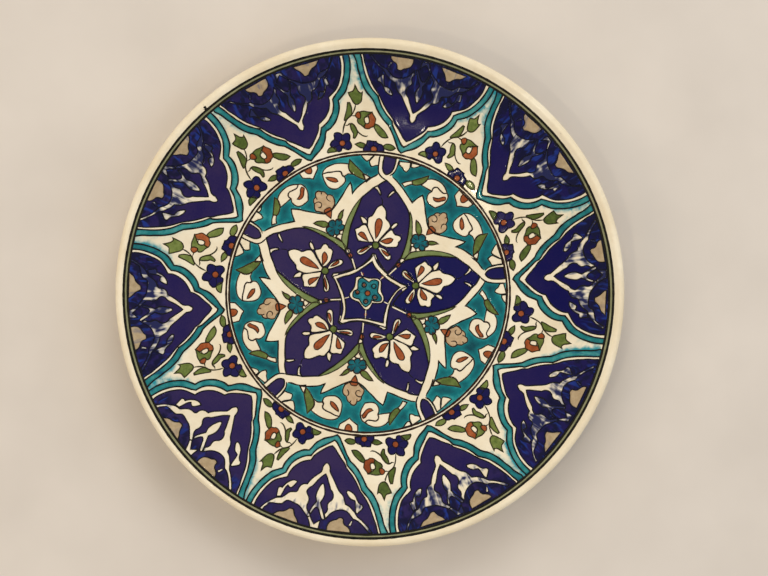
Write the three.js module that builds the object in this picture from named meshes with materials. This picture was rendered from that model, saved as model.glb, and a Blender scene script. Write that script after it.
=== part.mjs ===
// Hand painted ceramic plate: a coupe plate thrown in buff fritware clay with a
// turned foot ring, dipped in white slip on the face, clear glazed on the back,
// and painted with fields of fired colour. Every colour field is its own thin
// solid lying on the white slip. Millimetres, +Z up, the plate's axis is Z and
// its foot ring rests on Z = 0.
import * as THREE from 'three';
import { mergeVertices } from 'three/addons/utils/BufferGeometryUtils.js';

// ---------------------------------------------------------------- dimensions
const RIM_RADIUS = 125;        // outermost point of the lip
const PLATE_HEIGHT = 32;       // top of the lip above the table
const WELL_RADIUS = 58;        // flat middle of the face
const WELL_Z = 9;              // height of the flat middle of the face
const WALL_END_RADIUS = 121.62;// where the wall runs into the lip
const WALL_RISE = 22.59;       // rise of the wall between those two radii
const LIP_RADIUS = 2.2;        // roundness of the lip
const LIP_CENTRE_R = 122.8;    // centre of the lip's rounding
const LIP_CENTRE_Z = 29.8;
const FOOT_OUTER_R = 69.5;     // foot ring
const FOOT_REST_OUTER_R = 68.2;
const FOOT_REST_INNER_R = 64.4;
const FOOT_INNER_R = 63.0;
const FOOT_WELL_Z = 3.4;       // ceiling of the recess inside the foot ring
const SLIP = 0.5;              // white slip and its glaze on the face
const BACK_GLAZE = 0.4;        // clear glaze on the back
const BED = 0.15;              // joint between the clay and its coats
const PAINT_BED = 0.35;        // joint between the slip and a colour field
const PAINT = 0.35;            // thickness of a colour field
const SEGMENTS = 60;
// the painter's wheel centre lies a little off the plate's axis
const ORNAMENT_X = -1.2;
const ORNAMENT_Y = -0.7;

// ---------------------------------------------------------------- materials
const mat = (name, color, roughness) =>
  new THREE.MeshStandardMaterial({ name, color, roughness, metalness: 0 });
const CLAY = mat('fritware_clay', 0xd8c5a2, 0.9);
const WHITE = mat('white_slip', 0xefe3c8, 0.28);
const BACK = mat('clear_back_glaze', 0xe9dec6, 0.3);
const COBALT = mat('cobalt', 0x1d1464, 0.18);
const TURQUOISE = mat('turquoise', 0x11868c, 0.18);
const GREEN = mat('rim_green', 0x7c8469, 0.35);
const BLACK = mat('outline_black', 0x22201a, 0.35);

// ---------------------------------------------------------------- face shape
// height of the finished face above the table at a radius
const faceZ = (r) => {
  if (r > WALL_END_RADIUS) return LIP_CENTRE_Z + Math.sqrt(LIP_RADIUS ** 2 - (r - LIP_CENTRE_R) ** 2);
  const u = Math.max(0, r - WELL_RADIUS) / (WALL_END_RADIUS - WELL_RADIUS);
  return WELL_Z + WALL_RISE * u * u;
};
const faceSlope = (r) => (r > WALL_END_RADIUS
  ? (LIP_CENTRE_R - r) / Math.sqrt(LIP_RADIUS ** 2 - (r - LIP_CENTRE_R) ** 2)
  : 2 * WALL_RISE * Math.max(0, r - WELL_RADIUS) / (WALL_END_RADIUS - WELL_RADIUS) ** 2);

// points of the face and lip from the axis outward, each with its outward normal
const facePoints = () => {
  const out = [];
  for (const r of [0, WELL_RADIUS, 66, 74, 82, 90, 98, 106, 114, WALL_END_RADIUS]) {
    const s = faceSlope(r), n = Math.hypot(1, s);
    out.push({ r, z: faceZ(r), nr: -s / n, nz: 1 / n });
  }
  const start = Math.PI / 2 + Math.atan(faceSlope(WALL_END_RADIUS));
  const end = -0.12;
  const steps = 5;
  for (let i = 1; i <= steps; i++) {
    const a = start + (end - start) * i / steps;
    out.push({
      r: LIP_CENTRE_R + LIP_RADIUS * Math.cos(a),
      z: LIP_CENTRE_Z + LIP_RADIUS * Math.sin(a),
      nr: Math.cos(a), nz: Math.sin(a),
    });
  }
  return out;
};

// points of the underside wall from the lip down to the foot ring
const wallPoints = () => {
  const raw = [
    [124.6, 28.5], [123.2, 27.1], [115, 21.5], [103, 14.8], [90, 9.4], [77, 5.9],
    [FOOT_OUTER_R, 4.4], [FOOT_OUTER_R - 0.6, 1.2],
  ];
  return withNormals(raw, -1);
};

// the ceiling of the recess inside the foot ring, from its wall to the axis
const recessPoints = () => withNormals([
  [FOOT_INNER_R - 0.35, 1.6], [FOOT_INNER_R - 0.9, 2.9], [FOOT_INNER_R - 2.2, FOOT_WELL_Z],
  [0, FOOT_WELL_Z],
], -1);

function withNormals(raw, side) {
  return raw.map(([r, z], i) => {
    const a = raw[Math.max(0, i - 1)], b = raw[Math.min(raw.length - 1, i + 1)];
    let tr = b[0] - a[0], tz = b[1] - a[1];
    const l = Math.hypot(tr, tz);
    tr /= l; tz /= l;
    let nr = -side * -tz, nz = -side * tr;
    if (r === 0) { nr = 0; nz = Math.sign(nz) || 1; }
    return { r, z, nr, nz };
  });
}
const inset = (p, d) => new THREE.Vector2(Math.max(0, p.r - p.nr * d), p.z - p.nz * d);

// ---------------------------------------------------------------- solids
// welds a geometry, drops empty triangles and turns it to face outward
const solid = (geometry) => {
  geometry.deleteAttribute('normal');
  geometry.deleteAttribute('uv');
  const g = mergeVertices(geometry, 1e-4);
  const p = g.getAttribute('position'), ix = g.getIndex().array;
  const keep = [];
  let volume = 0;
  const a = new THREE.Vector3(), b = new THREE.Vector3(), c = new THREE.Vector3();
  for (let i = 0; i < ix.length; i += 3) {
    if (ix[i] === ix[i + 1] || ix[i + 1] === ix[i + 2] || ix[i] === ix[i + 2]) continue;
    keep.push(ix[i], ix[i + 1], ix[i + 2]);
    a.fromBufferAttribute(p, ix[i]); b.fromBufferAttribute(p, ix[i + 1]); c.fromBufferAttribute(p, ix[i + 2]);
    volume += a.dot(b.clone().cross(c));
  }
  if (volume < 0) for (let i = 0; i < keep.length; i += 3) [keep[i + 1], keep[i + 2]] = [keep[i + 2], keep[i + 1]];
  g.setIndex(keep);
  g.computeVertexNormals();
  return g;
};

const turned = (profile) => solid(new THREE.LatheGeometry(profile, SEGMENTS).rotateX(Math.PI / 2));

// a thin coat lying on the face: a flat triangulation in plan, lifted onto the
// face, with a lower skin, an upper skin and walls along its open edges
const coat = (points, triangles) => {
  const n = points.length, xyz = [], ix = [];
  for (const lift of [PAINT_BED, PAINT_BED + PAINT])
    for (const [x, y] of points) {
      const X = x + ORNAMENT_X, Y = y + ORNAMENT_Y, r = Math.hypot(X, Y), s = faceSlope(r);
      xyz.push(X, Y, faceZ(r) + lift * Math.hypot(1, s));
    }
  const open = new Map();
  for (const t of triangles) {
    let [a, b, c] = t;
    const area = (points[b][0] - points[a][0]) * (points[c][1] - points[a][1])
      - (points[c][0] - points[a][0]) * (points[b][1] - points[a][1]);
    if (Math.abs(area) < 1e-9) continue;
    if (area < 0) [b, c] = [c, b];
    ix.push(a + n, b + n, c + n, a, c, b);
    for (const [p, q] of [[a, b], [b, c], [c, a]]) {
      if (open.has(`${q},${p}`)) open.delete(`${q},${p}`); else open.set(`${p},${q}`, [p, q]);
    }
  }
  for (const [p, q] of open.values()) ix.push(p, q, q + n, p, q + n, p + n);
  const g = new THREE.BufferGeometry();
  g.setAttribute('position', new THREE.Float32BufferAttribute(xyz, 3));
  g.setIndex(ix);
  return solid(g);
};

// a coat from rows of points, every row as long as the last
const coatFromRows = (rows, closed = false) => {
  const points = [], triangles = [], w = rows[0].length;
  rows.forEach((row) => points.push(...row));
  // a row drawn together to one point keeps a single shared corner
  const id = (i, j) => {
    const k = i * w + (closed ? j % w : j), first = i * w;
    const same = rows[i].every((q) => Math.hypot(q[0] - rows[i][0][0], q[1] - rows[i][0][1]) < 1e-6);
    return same ? first : k;
  };
  for (let i = 0; i + 1 < rows.length; i++)
    for (let j = 0; j < (closed ? w : w - 1); j++) {
      const a = id(i, j), b = id(i, j + 1), c = id(i + 1, j + 1), d = id(i + 1, j);
      if (a !== b && b !== c && a !== c) triangles.push([a, b, c]);
      if (a !== c && c !== d && a !== d) triangles.push([a, c, d]);
    }
  return coat(points, triangles);
};

// a coat from an outline that its own middle point sees whole
const coatFromOutline = (outline) => {
  const points = outline.map((p) => [...p]);
  const flat = points.map(([x, y]) => new THREE.Vector2(x, y));
  return coat(points, THREE.ShapeUtils.triangulateShape(flat, []));
};

const turn = ([x, y], degrees) => {
  const a = THREE.MathUtils.degToRad(degrees);
  return [x * Math.cos(a) - y * Math.sin(a), x * Math.sin(a) + y * Math.cos(a)];
};
// shapes are drawn with the plate's centre at the origin and outward along +Y
const place = (rows, degrees) => rows.map((row) => row.map((p) => turn(p, degrees - 90)));
const mirror = (half) => [...half.slice(1).reverse().map(([x, y]) => [-x, y]), ...half];
const polar = (r, degrees) => turn([0, r], -degrees);
// narrows or widens each side of a shape to the room that it has
const fit = (rows, left, right) => rows.map((row) => row.map(([x, y]) =>
  polar(Math.hypot(x, y), THREE.MathUtils.radToDeg(Math.atan2(x, y)) * (x < 0 ? left : right))));

// ---------------------------------------------------------------- outlines
// half outlines of a border cartouche, from its point to the rim band
const RIBBON_OUTER = [[0, 71.2], [4.5, 74.1], [8.6, 77.6], [10.8, 81.6], [16, 85.3], [20.4, 90],
  [22.2, 93.6], [27.2, 97.8], [31, 103.2], [33.4, 108.8], [34.4, 112.3]];
const RIBBON_INNER = [[0, 74.4], [4.4, 77.9], [7.8, 81.6], [9.5, 84.7], [14.4, 87.9], [17.8, 92],
  [19.7, 95.5], [24.6, 99.6], [28.4, 105], [30.8, 110.2], [31.6, 113.2]];
const FIELD = [[0, 77.3], [4.2, 80.4], [7.2, 84], [8.8, 86.7], [13.5, 89.8], [16.7, 94],
  [18.4, 96.9], [23, 100.9], [26.9, 106], [29.2, 111], [29.9, 113.7]];
const FIELD_COLUMNS = 5;
// angles at which the painter set the ten cartouches, around from +X
const CARTOUCHE_ANGLES = [5.2, 38.9, 73.5, 110.7, 148.9, 185.3, 222.6, 257.4, 293.1, 329.2];
// half outline of a petal of the middle rosette and the angles of the five
const PETAL = [[0, 57], [6.4, 52], [12.2, 43.5], [15.6, 34], [16, 26], [12.6, 18.2],
  [7.6, 11.4], [3.6, 14.4], [0, 20.2]];
const PETAL_ANGLES = [81.6, 8.2, -65.1, -136.8, 151.8];
const STAR_TIP = 18.0, STAR_WAIST = 11.0;

// ---------------------------------------------------------------- the plate
const plate = new THREE.Group();
plate.name = 'hand_painted_plate';
const add = (name, geometry, material) => {
  const mesh = new THREE.Mesh(geometry, material);
  mesh.name = name;
  plate.add(mesh);
};
const two = (i) => String(i + 1).padStart(2, '0');

// clay body with its turned foot ring
{
  const face = facePoints(), wall = wallPoints(), recess = recessPoints();
  const profile = [
    ...face.map((p) => inset(p, SLIP + BED)),
    ...wall.map((p) => inset(p, BACK_GLAZE + BED)),
    new THREE.Vector2(FOOT_OUTER_R - 0.85, 0.75),
    new THREE.Vector2(FOOT_REST_OUTER_R, 0),
    new THREE.Vector2(FOOT_REST_INNER_R, 0),
    new THREE.Vector2(FOOT_INNER_R + 0.55, 0.9),
    ...recess.map((p) => inset(p, BACK_GLAZE + BED)),
  ];
  profile[0].x = 0;
  profile[profile.length - 1].x = 0;
  add('clay_body', turned(profile), CLAY);

  // white slip over the face and the lip
  const slip = [...face.map((p) => inset(p, 0)), ...face.slice().reverse().map((p) => inset(p, SLIP))];
  slip[0].x = 0;
  slip[slip.length - 1].x = 0;
  add('white_face_slip', turned(slip), WHITE);

  // clear glaze on the outside wall, from under the lip to the foot ring
  const back = [...wall.map((p) => inset(p, 0)), ...wall.slice().reverse().map((p) => inset(p, BACK_GLAZE))];
  back.push(back[0].clone());
  add('back_glaze', turned(back), BACK);

  // clear glaze inside the foot ring
  const well = [...recess.map((p) => inset(p, 0)), ...recess.slice().reverse().map((p) => inset(p, BACK_GLAZE))];
  well[recess.length - 1].x = 0;
  well[recess.length].x = 0;
  well.push(well[0].clone());
  add('foot_recess_glaze', turned(well), BACK);
}

// bands around the rim and around the roundel
const band = (inner, outer) => {
  const rows = [];
  for (const r of [inner, outer]) {
    const row = [];
    for (let i = 0; i < SEGMENTS; i++) row.push(polar(r, 360 * i / SEGMENTS));
    rows.push(row);
  }
  return coatFromRows(rows, true);
};
add('rim_line_inner', band(117.75, 118.7), BLACK);
add('rim_green_band', band(118.85, 119.7), GREEN);
add('rim_line_outer', band(119.85, 120.9), BLACK);
add('roundel_ring', band(68.6, 70.3), BLACK);

// border cartouches: a turquoise ribbon around a cobalt field
CARTOUCHE_ANGLES.forEach((angle, i) => {
  const before = CARTOUCHE_ANGLES[(i + 9) % 10] - (i === 0 ? 360 : 0);
  const after = CARTOUCHE_ANGLES[(i + 1) % 10] + (i === 9 ? 360 : 0);
  const left = (after - angle) / 36, right = (angle - before) / 36;
  add(`cartouche_ribbon_${two(i)}`,
    coatFromRows(place(fit([mirror(RIBBON_INNER), mirror(RIBBON_OUTER)], left, right), angle)), TURQUOISE);
  const rows = FIELD.map(([x, y]) => {
    const r = Math.hypot(x, y), a = THREE.MathUtils.radToDeg(Math.atan2(x, y)), row = [];
    for (let j = 0; j <= FIELD_COLUMNS; j++) row.push(polar(r, a * (2 * j / FIELD_COLUMNS - 1)));
    return row;
  });
  add(`cartouche_cobalt_${two(i)}`, coatFromRows(place(fit(rows, left, right), angle)), COBALT);
});

// blossoms of the sprays between the cartouches
CARTOUCHE_ANGLES.forEach((angle, i) => {
  const next = CARTOUCHE_ANGLES[(i + 1) % 10] + (i === 9 ? 360 : 0);
  const at = angle + (next - angle) * 0.655, outline = [];
  for (let j = 0; j < 20; j++) {
    const a = THREE.MathUtils.degToRad(18 * j), r = 4.6 + 0.7 * Math.cos(5 * a);
    outline.push([r * Math.cos(a), 75.9 + r * Math.sin(a)]);
  }
  add(`spray_blossom_${two(i)}`, coatFromOutline(place([outline], at)[0]), COBALT);
});

// roundel: turquoise ground between the arches, petals, star and middle flower
PETAL_ANGLES.forEach((angle, i) => {
  add(`rosette_petal_${i + 1}`, coatFromOutline(place([mirror(PETAL).slice(0, -1)], angle)[0]), COBALT);
  add(`roundel_tab_${i + 1}`, coatFromRows(place(
    [61.5, 64.6, 67.9].map((r) => [-1, -0.33, 0.33, 1].map((s) => polar(r, s * 3.6))), angle)), COBALT);
  const columns = [[-29.5, 63.5], [-24, 56], [-18, 50.5], [-11, 46], [-4, 43.5], [4, 43.5],
    [11, 46], [18, 50.5], [24, 56], [29.5, 63.5]];
  const rows = [0, 0.25, 0.5, 0.75, 1].map((t) =>
    columns.map(([a, r]) => polar(r + (67.9 - r) * t, a)));
  add(`roundel_ground_${i + 1}`, coatFromRows(place(rows, angle + 36)), TURQUOISE);
});
{
  // the star leaves a hole for the middle flower's white edge, so it is a ring
  const inner = [], outer = [];
  for (let i = 0; i < 40; i++) {
    const a = 9 * i, turnBack = Math.abs(((a + 36) % 72) - 36) / 36;
    outer.push(polar(STAR_TIP - (STAR_TIP - STAR_WAIST) * Math.pow(turnBack, 0.62), a));
    inner.push(polar(8.3, a));
  }
  add('centre_star', coatFromRows(place([inner, outer], PETAL_ANGLES[0]), true), COBALT);
  const flower = [];
  for (let i = 0; i < 30; i++) {
    const a = THREE.MathUtils.degToRad(12 * i), r = 6.3 + 0.7 * Math.cos(5 * a);
    flower.push([r * Math.sin(a), r * Math.cos(a)]);
  }
  add('centre_flower', coatFromOutline(place([flower], PETAL_ANGLES[0] + 36)[0]), TURQUOISE);
}

export default plate;
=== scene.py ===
# A hand painted glazed plate. The painting is laid on the turned face as thin coats and brush lines, each a solid of its own.
import bpy, bmesh, math
import numpy as np
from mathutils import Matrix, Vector
from mathutils.geometry import delaunay_2d_cdt


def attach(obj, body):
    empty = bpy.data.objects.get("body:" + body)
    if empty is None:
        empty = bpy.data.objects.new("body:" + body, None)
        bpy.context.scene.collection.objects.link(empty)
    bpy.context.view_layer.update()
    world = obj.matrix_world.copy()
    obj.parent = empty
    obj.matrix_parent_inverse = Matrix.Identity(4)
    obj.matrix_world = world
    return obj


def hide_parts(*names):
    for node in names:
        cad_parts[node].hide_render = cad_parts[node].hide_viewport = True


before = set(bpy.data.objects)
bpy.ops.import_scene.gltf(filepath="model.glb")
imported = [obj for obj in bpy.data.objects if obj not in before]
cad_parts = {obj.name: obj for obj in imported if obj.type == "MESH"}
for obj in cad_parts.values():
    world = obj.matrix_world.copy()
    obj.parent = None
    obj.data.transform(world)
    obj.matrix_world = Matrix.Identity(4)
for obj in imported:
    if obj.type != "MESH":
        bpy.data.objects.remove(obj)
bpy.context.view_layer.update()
MM = 0.001
WORLD_STRENGTH = 0.68
LIGHTS = [
    ("key", (0.12, 1.22, 1.42), 1.0, 12.6, (255, 249, 240)),
    ("side", (1.15, 0.25, 1.3), 0.9, 4.6, (222, 234, 255)),
    ("warm", (-1.0, -0.3, 1.2), 0.8, 3.6, (255, 218, 176)),
    ("lamp", (-0.262, -0.268, 1.58), 0.07, 1.6, (255, 240, 205)),
    ("lamp_two", (-0.19, -0.84, 1.5), 0.04, 0.7, (255, 244, 220)),
]
CAM_X, CAM_Y = 0.00692, 0.00201

# ============================================================================ the pattern
# Shapes in millimetres: u across (clockwise positive), v outward from the painter's centre. '!' marks a sharp corner.
def P(s):
    out=[]
    for t in s.split():
        c=t.endswith('!'); t=t.rstrip('!')
        a,b=t.split(','); out.append((float(a),float(b),c))
    return out
# ---------------------------------------------------------------- cartouche, base angle 222.6
RIB_OUT_L=P("-33.0,112.9 -31.9,111.5 -30.3,109 -29.2,106.5 -27.8,104 -26.4,101 -24.6,98 -22.6,95.5 -20.8,94 -19.3,92.6! -18.2,91 -16.4,88.3 -14.2,85.7 -11.7,83.5 -9.3,82.0! -8.3,80.9 -6.5,78.8 -4.5,76.3 -2.5,73.8 -1,72 0.6,71.1!")
RIB_OUT_R=P("0.6,71.1! 3,72.5 6,73.8 9,75.8 11,78 12.2,80.3 13.2,81.6! 15.5,82 18.5,83.5 21,85.7 23,88.3 24.2,91 24.6,93! 27,94.1 29.6,95.6 31.8,98 34,101 35.6,104.2 36.8,107.5 37.3,110 37.5,111.9")
RIB_IN_L=P("-30.1,114.2 -28.8,111.8 -27.5,109 -26.2,106.3 -24.6,103.3 -22.8,100.5 -20.8,98 -19,96.4 -17.2,94.9! -16.5,93.5 -15.2,91.2 -13.2,88.6 -10.8,86.3 -8.9,84.9 -8,84.1! -7.3,82.4 -5.7,80.4 -3.7,78.2 -1.7,76 0,74.4 1.2,73.9!")
RIB_IN_R=P("1.2,73.9! 3,75.3 5,76.9 7.5,78.8 9.6,80.8 10.5,82.2 11.4,83.9! 13.5,84.5 16,85.7 18.6,87.6 20.6,90 21.8,92.6 22.2,94.6! 24,95.9 26.5,97.4 29,99.3 31,101.8 32.8,105 34,108.3 34.6,111.2 34.8,112.8")
FIELD_L=P("-28.9,114.5 -28.0,112.9 -27.0,110.5 -25.5,108 -24.0,105.2 -22.4,102.5 -20.6,99.9 -18.6,97.6 -16.8,95.7! -15.8,94.3 -14.1,91.8 -12.0,89.3 -9.6,87 -7.9,85.5! -6.8,83.7 -5,82.2 -2.5,79.9 -0.3,77.8 1.6,76.7!")
FIELD_R=P("1.6,76.7! 3.5,77.6 5.2,79 7.2,80.8 9,82.6 10.2,84.3 10.8,86! 13,86.8 15.4,88 17.6,89.8 19.3,92 20.4,94.3 20.8,96.5! 22.5,97.2 25,98.2 27.2,99.6 29,101.8 30.9,104.8 32.2,108 32.9,110.8 33.0,113.3")
# the white arabesque: one branching reserve
W_MAIN=P("2.1,85.6 1.0,86.1 0.2,87.4 -0.1,89.2 -0.9,90.4 -2,91.8 -3.4,93.7 -4.8,95.7 -5.9,97.3! -6.8,98.2 -8.2,99.2 -9.3,100.4 -10,102 -10.7,103.6! -11.8,103.9 -13,104.4 -14.5,105.6 -15.8,106.5 -16.8,107.7 -17.8,108.7! -19.4,109.5 -21.6,111 -23.8,112.6 -26.0,114.6! -24.6,115.1! -22.8,113.6 -20.8,112 -18.8,110.8 -17,110.1 -15.9,110.0! -15,109.2 -13.5,107.8 -12,106.9 -10.5,106.6 -8.5,106.9 -6.5,107.7 -4.8,109 -3.6,110.5 -2.6,112.2! -2.0,111.3 -1.6,110.2! -2.4,109 -2.7,107.8 -2.3,106.4 -2.2,105.2 -2.8,104 -3.8,103! -4.2,101.5 -3.9,99.9 -3,98.6 -2.2,98! -1.5,96.5 -0.3,94.3 0.8,92.2 1.7,90.9! 3.3,92.5 5,94.8 6.2,96.8 7.2,98.3! 8.4,99.2 9.1,100.4 9.3,101 8.8,102.3 7.8,103.4! 7.4,104.6 7.4,106 7.8,107.5 7.7,108.8 7,110! 6.0,111.1 5.3,112.3 6.4,113.0! 8,111.5 9.5,110.2 11,108.9 12.5,108.2 14.5,107.8 16.5,107.3 18,107.4 19,108.2 20,109.4! 21.5,109.8 24,109.9 26,110.3 27,111.5 28.2,113 28.6,114.2! 30,113.7! 29.2,112.3 28,110.8 26.5,109.3 25,108.2 23.8,107.3 22.5,106.8 20.8,106.5! 20,105.7 18.8,104.3 17.5,103.2 16,102.7 14.3,102.4 13.8,101.8! 13.6,100.4 12.8,98.9 11.5,98 9.8,97.7! 9.4,96.8 8.3,95 6.8,93.2 5.2,91.6 4.2,90.4! 3.9,89.2 3.9,87.8 3.3,86.6 2.7,85.8")
W_DROP=P("2.2,95.9! 2.9,96.6 3.5,98 4,99.8 4.3,101.5 4.3,102.8 3.8,104 3.5,105! 4.6,107 5.6,109.3 5.9,110.3! 5.1,111.3! 4.9,110.8 4.3,109.3 3.5,108 2.9,107.7 2.4,107.9 1.8,108.4 0.7,110.3 -0.4,112.4! -1.3,113.0 -2.1,112.5! -1,110 0.5,107.2 1.5,105.2! 0.9,103.7 0.4,102.3 0.2,101 0.5,99.2 1.1,97.4 1.7,96.2")
W_ROOF=P("0.1,117.7! 0.0,115.4 -0.1,113.2! 1.3,114.6 2.6,115.8! 4,114 5.3,112.3! 6.2,113.2! 5,115.4 4.1,117.7!")
W_COM_L=P("-17.3,107.0! -18,105.9 -18.8,104.8 -19.4,103.3 -18.8,102.3! -17.6,102 -16.6,101.2 -15.8,100.1! -15.3,99.2 -14.5,98.2 -13.3,97.3 -11.8,96.7 -10.6,96.6! -10.3,97.6 -11,98.8 -12,99.9 -13,100.6 -14,100.8! -15,101 -15.4,102 -15.8,103.8 -16.1,105.3 -16.5,106.6!")
W_COM_R=P("21.6,106.1! 23.6,106.5! 23.8,104.5 23.9,102.3! 23,101.7 22,101.9! 21.3,100.7 20,99 18.5,97.9 16.8,97.3 15.1,97.6! 15.9,99.2 16.9,100.6 17.7,101.2 18.6,100.9 19.4,100.3! 20,101 20.6,102.4 21,104")
W_SLIT=P("-15.3,113.4! -14.1,113.4! -14.6,112 -15.1,110.8! -15.7,111.1! -15.5,112.4")
TAN_L=P("-15.6,116.6! -15.2,115.3 -14,114.2 -12.2,113.4! -11.5,112.5 -11.2,110.9! -10.2,110.4 -8.9,110.6! -8,111.5 -6.3,112.3 -4.6,113.7 -4.0,115.5 -4.1,117.6!")
TAN_R=P("10.3,117.2! 11.2,115.4 12.6,113.8 13.3,112.4 13.8,110.9! 14.7,110.7 16,110.9! 17.2,112 18.8,112.9 20.4,113.2! 21.4,113.7 22.3,114.6 23.4,115.4!")
# ---------------------------------------------------------------- spray, base angle 167.1
TULIP=P("1.4,103.6! 2.2,101.8 3,100.2 3.9,99.4! 4.6,99.3 5.4,99.9! 5,98.4 4.7,96.8 4,95 3,94.1 1.8,93.7 0.8,93.9 -0.2,94.9 -1.2,96.8 -2.2,98.7 -2.6,99.9! -1.2,100.2 0,100.5 0.7,101.3 1.1,102.4")
ST_TULIP=P("0.9,93.8 0.7,92.8 0,91 -1,89.3 -1.4,88.6")
ST_MAIN=P("-1.2,88.6 -2.6,88 -4,87 -5,85.8 -6,83.8 -6.6,81.9 -6.9,80.2")
ST_BUD=P("-1.3,88.4 -0.4,88.3 0.6,88.3")
ST_CURL=P("-5.2,84.3 -3.8,84.2 -2.8,84.7 -1.8,84.7 -0.8,84.1 0.2,82.5 1.2,80.3 2.6,78.7 4,77.8 5.4,77.6 6,77.9")
LEAF1=P("-3.2,95! -2.2,94.9! -1.4,92.8 -1.2,90.5 -1.5,88.9! -2.5,88.2 -3.8,87.3 -4.6,86.7! -5.4,86.8 -5.2,88 -4.6,89.8 -4,91.5 -3.6,93.4")
LEAF2=P("-2.5,84.5! -2.4,82.9 -1.9,81 -1.2,79.5 -1.3,78.5 -1.5,77.4! -0.8,77.1 0,77.9 0.8,79.2 1,80.4! 0.4,82 -0.5,83.6 -1.4,84.6!")
BUD_CAP=P("0.3,88.3! 1,89.5 1.8,90 2.8,89.9 3.2,88.8 3.2,87.6 2.7,86.7 1.8,86.7 1.2,87.2 0.6,87.8")
BUD_GREEN=P("2.7,89.9! 4,90.2 5.4,90.3 6.8,90.0 8.4,89.8 9.4,89.9! 8.2,89 7,88.4 6,87.6 5.1,86.9! 4.9,86 5,85.0 5.4,84.3! 5,83.2 4.6,82! 3.4,83.3 2.2,84.1 1.5,85 1.4,86.2 1.8,86.8! 2.8,86.8 3.2,87.8 3.2,88.9")
BUD_WHITE=P("5.1,86.9! 6,87.4 7.2,87.5! 7.4,86 7.2,84.4! 6.2,84.1 5.4,84.3! 5.0,85.6")
BUD_RED=P("7.2,88.3! 8.2,89 9.4,89.8! 9.8,88.6 10.4,87.6 10.9,86.4 10.5,85 10.1,84! 10,83 9.2,82.4! 8,82.1 7,81.4 6,81.4 5,81.7 4.5,82.1! 4.9,83.4 5.4,84.2! 6.6,84 7.3,84.9 7.4,86.5")
LEAF3=P("10.2,84! 11.8,83.2 13.2,81.6 14.4,80 15.2,78.3 15.6,76.7! 14.4,76.5 13,76.7 11.6,77.8 10.5,79.6 9.9,81.2 9.4,82.5!")
BLOS=P("-7.6,80.3! -8.4,81 -9.8,81.5 -11.2,81.3 -11.8,80.2 -11.6,79 -11.8,78! -12.8,77.4 -13.7,76.3 -14.1,75.2 -13.7,74.2 -12.9,73.7! -12.4,73 -11.6,72 -10.8,71.3 -9.5,71.1 -8.6,71.6 -8.4,72.7! -7.2,72.8 -6.2,72.2 -5,71.7 -3.9,71.9 -3,72.8 -2.8,74 -3.3,75.3 -3.7,76.3! -3.2,77.6 -3.2,79 -3.9,80 -5.2,80.3 -6.4,80 -7,79.6!")
BLOS_C=(-7.7,75.5,1.55)
BLOS_RAYS=[P("-7.6,80.0 -7.9,78.4 -7.9,77.2"),P("-11.7,78 -10.4,77.2 -9.2,76.5"),P("-12.8,73.8 -11.2,74.1 -9.4,74.7"),P("-8.4,72.7 -8.3,73.6 -8.1,74.2"),P("-3.7,76.3 -4.8,76.2 -6.1,76.0")]
LEAF4=P("-15.9,71.2! -15.5,72.3 -14.6,73.4 -13.6,73.9! -12.6,73.6 -11.4,73.0 -10.9,71.3! -12.8,71 -14.4,70.9 -15.6,70.7!")
HBLOS=P("2.9,69.8! 2.9,71.5 3.5,72.5 4.4,73! 4.9,74 5.4,75.3! 6.4,75.3 7.6,75 9,74.8 9.7,74.8! 10,74 10.9,73.4! 12,73 12.7,72.1 12.9,71 12.8,69.4! 8,69.6")
HBLOS_C=(8.0,70.9,1.5)
HBLOS_RAYS=[P("4.4,73 5.4,72.2 6.4,71.6"),P("8.4,74.7 8.2,73.4 8.1,72.4"),P("10.9,73.4 10.2,72.4 9.5,71.7")]
LEAF5=P("-0.9,74.1! 0.4,74.5 1.8,74.7 3,74.4 4.2,73.6! 3.5,72.7 3,71.8! 1.8,72 0.6,72.7 -0.3,73.5")
LEAF6=P("12.8,72.3! 14,73.1 15.4,73.2 16.8,72.8 17.8,72 18.6,70.9! 17.4,70.1 15.8,69.9 14.4,70.3 13.0,70.9!")
# ---------------------------------------------------------------- petal, base angle -136.8
PETAL=P("-1.6,56.7! 0.3,55.6 2.6,54 4.0,52.3! 6,50.5 8.5,48.2 10.6,46 12.3,43.6 13.3,41 13.7,38 13.8,34 13.7,30 13.4,27 12.9,24 12.4,22 12.1,20.6! 10.9,18.6 9.8,16.2! 8.2,13.9 6.8,12.3! 4.5,14.2 2.6,16.2 1.0,18.2 -0.4,20.3! -1.9,20.3! -3,17.8 -4.6,15.6 -6.5,13.2 -8.6,11.1! -10.4,13.8 -12.3,16.2! -13.6,18.4 -14.8,20.3! -14.9,23 -15.2,27 -15.2,31 -14.9,35 -14.3,39 -13.6,43 -13.0,45.9! -11.3,47.8 -9.5,49.8 -8,51.6! -5.5,53.4 -3.5,55.2")
GREEN_R=P("13.0,43.9! 14.2,41.6 15,38.8 15.5,35.5 15.8,32 15.8,28.5 15.6,25.5 15.5,23.2! 14.8,21.5 13.9,20! 12.2,20.6! 12.6,22.5 13.1,25 13.6,28 13.8,31 13.8,35 13.6,39 13.2,42")
GREEN_L=P("-13.2,46! -14.8,43.2 -16.2,39.8 -17.2,36 -17.8,32 -18.1,28 -18.3,24.2! -17,21.8 -15.6,19.8! -14.8,20.4! -15,23 -15.3,27 -15.3,31 -14.9,35 -14.2,39 -13.5,43")
HUB=(-1.3,24.5,1.75)
PM_C=P("-2.2,26.0! -4.2,28.4 -6.2,30.9 -7.4,33 -7.7,35 -7.9,36.8! -7.2,37.7 -6.2,38.3! -5.6,39.4 -5.1,40.8 -4.3,42.6 -3.3,43.8 -1.9,44.7! -0.4,43.6 0.7,42.2 1.2,40.5 1.3,38.7! 1.9,38 3.1,37.2 4.1,35.9 4.4,34.9! 3.6,33 2.3,31.2 0.9,29 0,27.4 -0.5,26.1!")
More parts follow.
